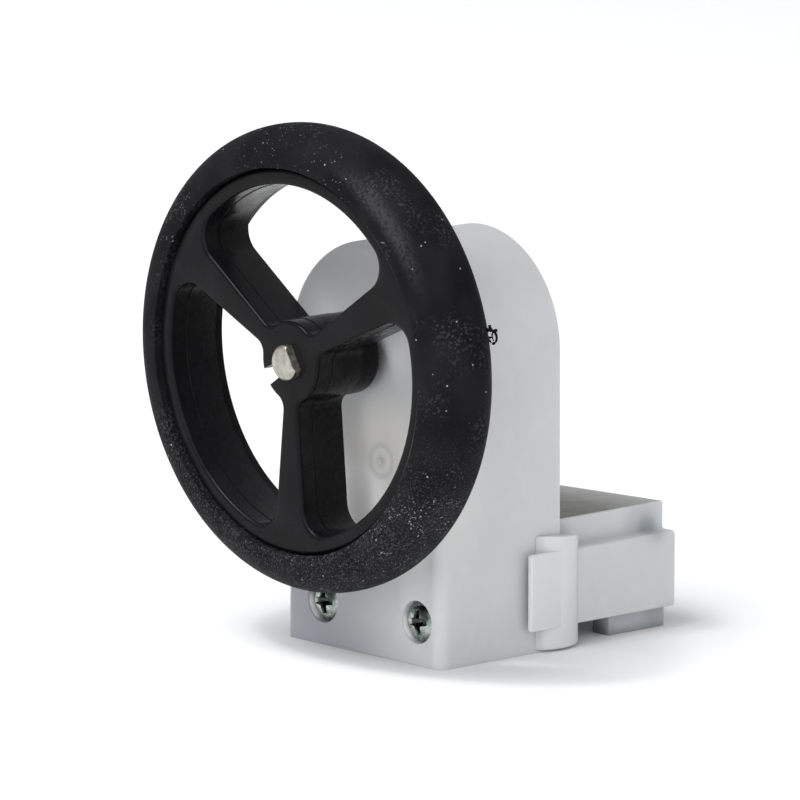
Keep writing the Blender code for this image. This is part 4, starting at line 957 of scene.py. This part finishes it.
def cross_recess(x, head):
    """The tapering cross recess of a screw, as a solid to cut."""
    def cross(reach, half, height):
        corners = []
        for k in range(4):
            arm = [(half, half, 0.08), (reach, half * 0.8, 0.12), (reach, -half * 0.8, 0.12)]
            corners += [(*turned_by([(u, v)], -90 * k + CROSS_TURN)[0], radius) for u, v, radius in arm]
        return across("Y", shifted(filleted(corners, 3), (x, SCREW_Z)), head + height)
    return loft("recess", [cross(1.25, 0.40, -0.3), cross(1.12, 0.36, 0.1), cross(0.72, 0.27, 0.75),
                           cross(0.42, 0.20, 1.0)])


def screw(side, x):
    """A zinc pan-head screw: domed head, tapering cross recess, plain shank."""
    node = f"cover_screw_{side}"
    low, high = cad_box(node)
    head = low.y
    dome = []
    steps = 18
    for i in range(steps + 1):
        a = math.pi / 2 * i / steps
        dome.append((SCREW_HEAD_R * math.sin(a), head + DOME_HEIGHT * (1 - math.cos(a))))
    under = head + SCREW_SEAT - 0.03
    profile = ([(0, head)] + dome[1:] + [(SCREW_HEAD_R - 0.05, under), (SCREW_R, under),
               (SCREW_R, high.y - 1.2), (0.35, high.y), (0, high.y)])
    made = revolve(f"screw_{side}", profile, (x, SCREW_Z), steps=72)
    boolean(made, "DIFFERENCE", cross_recess(x, head))
    return dress(shade(soften(made, 0.03, 2, 35), 40), "zinc", "housing", node)


def front_bush():
    inner = SHAFT_R + RUNNING_GAP
    front = TOWER_FRONT + BUSH_SUNK
    back = TOWER_FRONT + BUSH_BACK
    edge = 0.08
    profile = [(inner, back), (inner, front + edge), (inner + edge, front), (BUSH_R - edge, front),
               (BUSH_R, front + edge), (BUSH_R, TOWER_FRONT + BUSH_FLANGE_START),
               (BUSH_FLANGE_R, TOWER_FRONT + BUSH_FLANGE_START), (BUSH_FLANGE_R, back)]
    made = revolve("front_bush", profile, (0, AXIS_Z))
    return dress(shade(made), "brass", "housing", "output_bush_front")


# The connector block

def connector_block():
    right = [(FLANGE_HALF, BLOCK_BOTTOM, BLOCK_EDGE), (FLANGE_HALF, FLANGE_TOP, 0.3),
             (BLOCK_HALF, FLANGE_TOP, 0.2)]
    left = [(-u, v, radius) for u, v, radius in reversed(right)]
    outline = filleted(right + [(BLOCK_HALF, BLOCK_TOP, 0.2), (-BLOCK_HALF, BLOCK_TOP_LEFT, 0.2)] + left)
    made = rounded_prism("connector_block", outline, BLOCK_FRONT, BLOCK_BACK, edge=0.1)
    added = []
    for side in (-1, 1):
        foot = rectangle((FOOT_INNER, 0.0), (FOOT_OUTER, BLOCK_BOTTOM + 0.4), 0.12)
        foot = [(side * u, v) for u, v in foot]
        added.append(rounded_prism("foot", foot, FOOT_FRONT, BLOCK_BACK - 0.1, edge=0.1))
        added.append(pillar(side))
        added.append(wing(side))
    boolean(made, "UNION", *added)
    cavity = rectangle((-SOCKET_HALF, SOCKET_BOTTOM), (SOCKET_HALF, SOCKET_TOP), 0.2)
    cutters = [plain_prism("cavity", cavity, SOCKET_FRONT, BLOCK_BACK + 1)]
    for side in (-1, 1):
        hole = shifted(circle(PIN_R + RUNNING_GAP, 48), (side * PIN_X, PIN_Y))
        cutters.append(plain_prism("pin_hole", hole, -1, SOCKET_BOTTOM + 1, "Z"))
    boolean(made, "DIFFERENCE", *cutters)
    return dress(shade(made, 34), "milky_plastic", "housing", "rear_block")


def pillar_arc(steps):
    """The pillar's bowed outside in plan, from its front edge to its back edge."""
    chord = (PILLAR_BACK - PILLAR_FRONT) / 2
    sagitta = PILLAR_PROUD - TOWER_HALF_BASE
    radius = (chord ** 2 + sagitta ** 2) / (2 * sagitta)
    half = math.degrees(math.asin(chord / radius))
    return arc((PILLAR_PROUD - radius, (PILLAR_FRONT + PILLAR_BACK) / 2), radius, -half, half, steps)


def pillar(side):
    """A half-round upright that straddles the tower's back edge and joins the flange."""
    inner = TOWER_HALF_BASE - PILLAR_SUNK
    root = FLANGE_HALF - 0.6
    root_front = BLOCK_FRONT + 0.05
    outline = pillar_arc(48) + [(root, PILLAR_BACK), (root, root_front), (inner, root_front),
                                (inner, PILLAR_FRONT + 0.1)]
    outline = [(side * x, y) for x, y in outline]
    made = rounded_prism("pillar", outline, PILLAR_BOTTOM, PILLAR_TOP, "Z", 0.22, 5)
    corner = (PILLAR_BACK - PILLAR_CORNER, PILLAR_TOP - PILLAR_FALL - PILLAR_CORNER)
    over_top = [(PILLAR_FRONT, PILLAR_TOP + 1), (PILLAR_FRONT, PILLAR_TOP)]
    over_top += arc(corner, PILLAR_CORNER, 85, 0, 10)
    over_top += [(PILLAR_BACK + 1, corner[1]), (PILLAR_BACK + 1, PILLAR_TOP + 1)]
    ends = sorted((side * (root - 1), side * (PILLAR_PROUD + 1)))
    return boolean(made, "DIFFERENCE", plain_prism("over_top", over_top, *ends, "X"))


def wing(side):
    """A thin leaf that runs out of the pillar's bow, forwards along the tower."""
    bow = [point for point in pillar_arc(48) if point[1] > PILLAR_FRONT + 1.2]
    middle = len(bow) // 2
    start = BLOCK_LOW.y + WING_STRAIGHT
    outside = [(WING_OUTER - 0.1, BLOCK_LOW.y), (WING_OUTER, BLOCK_LOW.y + 0.1), (WING_OUTER, start)]
    for i in range(1, 8):
        t = i / 8
        y = start + (bow[middle][1] - start) * t
        ease = t * t * (3 - 2 * t)
        outside.append((WING_OUTER + (bow[middle][0] + 0.01 - WING_OUTER) * ease, y))
    inside = [(WING_INNER - 0.6, bow[middle][1]), (WING_INNER - 0.3, WING_BACK - 0.5),
              (WING_INNER, WING_BACK - 1.1), (WING_INNER, BLOCK_LOW.y + 0.1),
              (WING_INNER + 0.1, BLOCK_LOW.y)]
    outline = [(side * x, y) for x, y in outside + inside]
    return rounded_prism("wing", outline, WING_BOTTOM, WING_TOP, "Z", 0.16, 4)


def connector():
    low, high = SOCKET_LOW, SOCKET_HIGH
    middle = (low.z + high.z) / 2
    outline = rectangle((low.x, low.z), (high.x, high.z), 0.25)
    made = rounded_prism("connector_shell", outline, low.y, high.y, edge=0.12)
    recess = rectangle((-PLUG_HALF, middle - PLUG_HALF_HEIGHT), (PLUG_HALF, middle + PLUG_HALF_HEIGHT), 0.3)
    cutters = [plain_prism("plug_recess", recess, PLUG_FRONT, high.y + 1)]
    for side in (-1, 1):
        groove = shifted(circle(PIN_R + RESTING_GAP, 40), (side * PIN_X, PIN_Y))
        cutters.append(plain_prism("pin_groove", groove, low.z - 1, high.z + 1, "Z"))
    boolean(made, "DIFFERENCE", *cutters)
    return dress(shade(made), "dark_plastic", "housing", "connector_body")


def contact(side):
    """A square contact pin with a pointed end."""
    node = f"contact_pin_{side}"
    low, high = cad_box(node)

    def section(by, y):
        return across("Y", rectangle((low.x + by, low.z + by), (high.x - by, high.z - by), 0.06), y)
    made = loft(f"contact_{side}", [section(0.05, low.y), section(0.0, low.y + 0.1),
                                    section(0.0, high.y - 0.6), section(0.18, high.y)])
    return dress(shade(made, 20), "brass", "housing", node)


def retaining_pin(side):
    node = f"retaining_pin_{side}"
    low, high = cad_box(node)
    r, edge = (high.x - low.x) / 2, 0.12
    centre = ((low.x + high.x) / 2, (low.y + high.y) / 2)
    profile = [(0, low.z), (r - edge, low.z), (r, low.z + edge), (r, high.z - edge), (r - edge, high.z),
               (0, high.z)]
    made = revolve(f"retaining_pin_turned_{side}", profile, centre, "Z", 48)
    return dress(shade(made), "steel", "housing", node)


def dress_cad_nodes():
    """Procedural materials on the CAD nodes that keep their own meshes."""
    slots = {part["node"]: part["material_slot"] for part in frame["record"]["subparts"]}
    for name, node in frame["nodes"].items():
        slot_name = slots[name]
        node.data.materials.clear()
        node.data.materials.append(TOWER_PLASTIC if name in TOWER_NODES else MATERIALS[slot_name])


# Floor, light and camera

def floor():
    bm = bmesh.new()
    bmesh.ops.create_grid(bm, x_segments=8, y_segments=8, size=3000)
    made = mesh_piece("floor", bm)
    paint = Finish("floor_paint", (0.90, 0.90, 0.90), 0.9, specular=0.1)
    paint.mix(paint.between(paint.noise(400), 0.3, 0.7, 0.0, 0.4), (0.92, 0.92, 0.92))
    made.data.materials.append(paint.material)


def softbox(name, place, aim, size, power):
    light = bpy.data.lights.new(name, "AREA")
    light.shape = "RECTANGLE"
    light.size = size
    light.size_y = size
    light.energy = power
    made = bpy.data.objects.new(name, light)
    made.location = place
    made.rotation_euler = (Vector(aim) - Vector(place)).to_track_quat("-Z", "Y").to_euler()
    bpy.context.scene.collection.objects.link(made)


def lights():
    world = bpy.data.worlds.new("studio")
    world.use_nodes = True
    background = world.node_tree.nodes["Background"]
    background.inputs["Color"].default_value = (0.97, 0.985, 1.0, 1.0)
    background.inputs["Strength"].default_value = 0.50
    bpy.context.scene.world = world
    aim = (0, 0, 0.02)
    for name, azimuth, elevation, distance, size, power in LIGHTS:
        a, e = math.radians(azimuth), math.radians(elevation)
        place = Vector((math.sin(a) * math.cos(e), -math.cos(a) * math.cos(e), math.sin(e))) * distance
        softbox(name, place, aim, size, power)


def camera():
    """At the photograph's viewing angle, from far off through a long lens."""
    angles = (CAMERA_AZIMUTH, CAMERA_ELEVATION, CAMERA_ROLL)
    azimuth, elevation, roll = (math.radians(angle) for angle in angles)
    back = Vector((math.sin(azimuth) * math.cos(elevation), -math.cos(azimuth) * math.cos(elevation),
                   math.sin(elevation)))
    right = Vector((math.cos(azimuth), math.sin(azimuth), 0))
    up = back.cross(right)
    aim = right * CAMERA_AIM_RIGHT + Vector((0, TOWER_FRONT * MM, CAMERA_AIM_Z))
    turned = [right * math.cos(roll) + up * math.sin(roll),
              up * math.cos(roll) - right * math.sin(roll), back]
    lens = bpy.data.cameras.new("camera")
    lens.sensor_width = 36.0
    lens.lens = CAMERA_LENS
    lens.clip_start = 0.05
    lens.clip_end = 20.0
    made = bpy.data.objects.new("camera", lens)
    place = aim + back * CAMERA_DISTANCE
    made.matrix_world = Matrix.Translation(place) @ Matrix(turned).transposed().to_4x4()
    bpy.context.scene.collection.objects.link(made)
    bpy.context.scene.camera = made


dress_cad_nodes()
tyre()
tyre_flash()
wheel()
hub_flash()
shaft()
gearbox_tower()
cover()
for side, x in zip(("left", "right"), SCREW_XS):
    screw(side, x)
    contact(side)
    retaining_pin(side)
front_bush()
connector_block()
connector()
floor()
lights()
camera()
bpy.context.scene.view_settings.view_transform = "Standard"
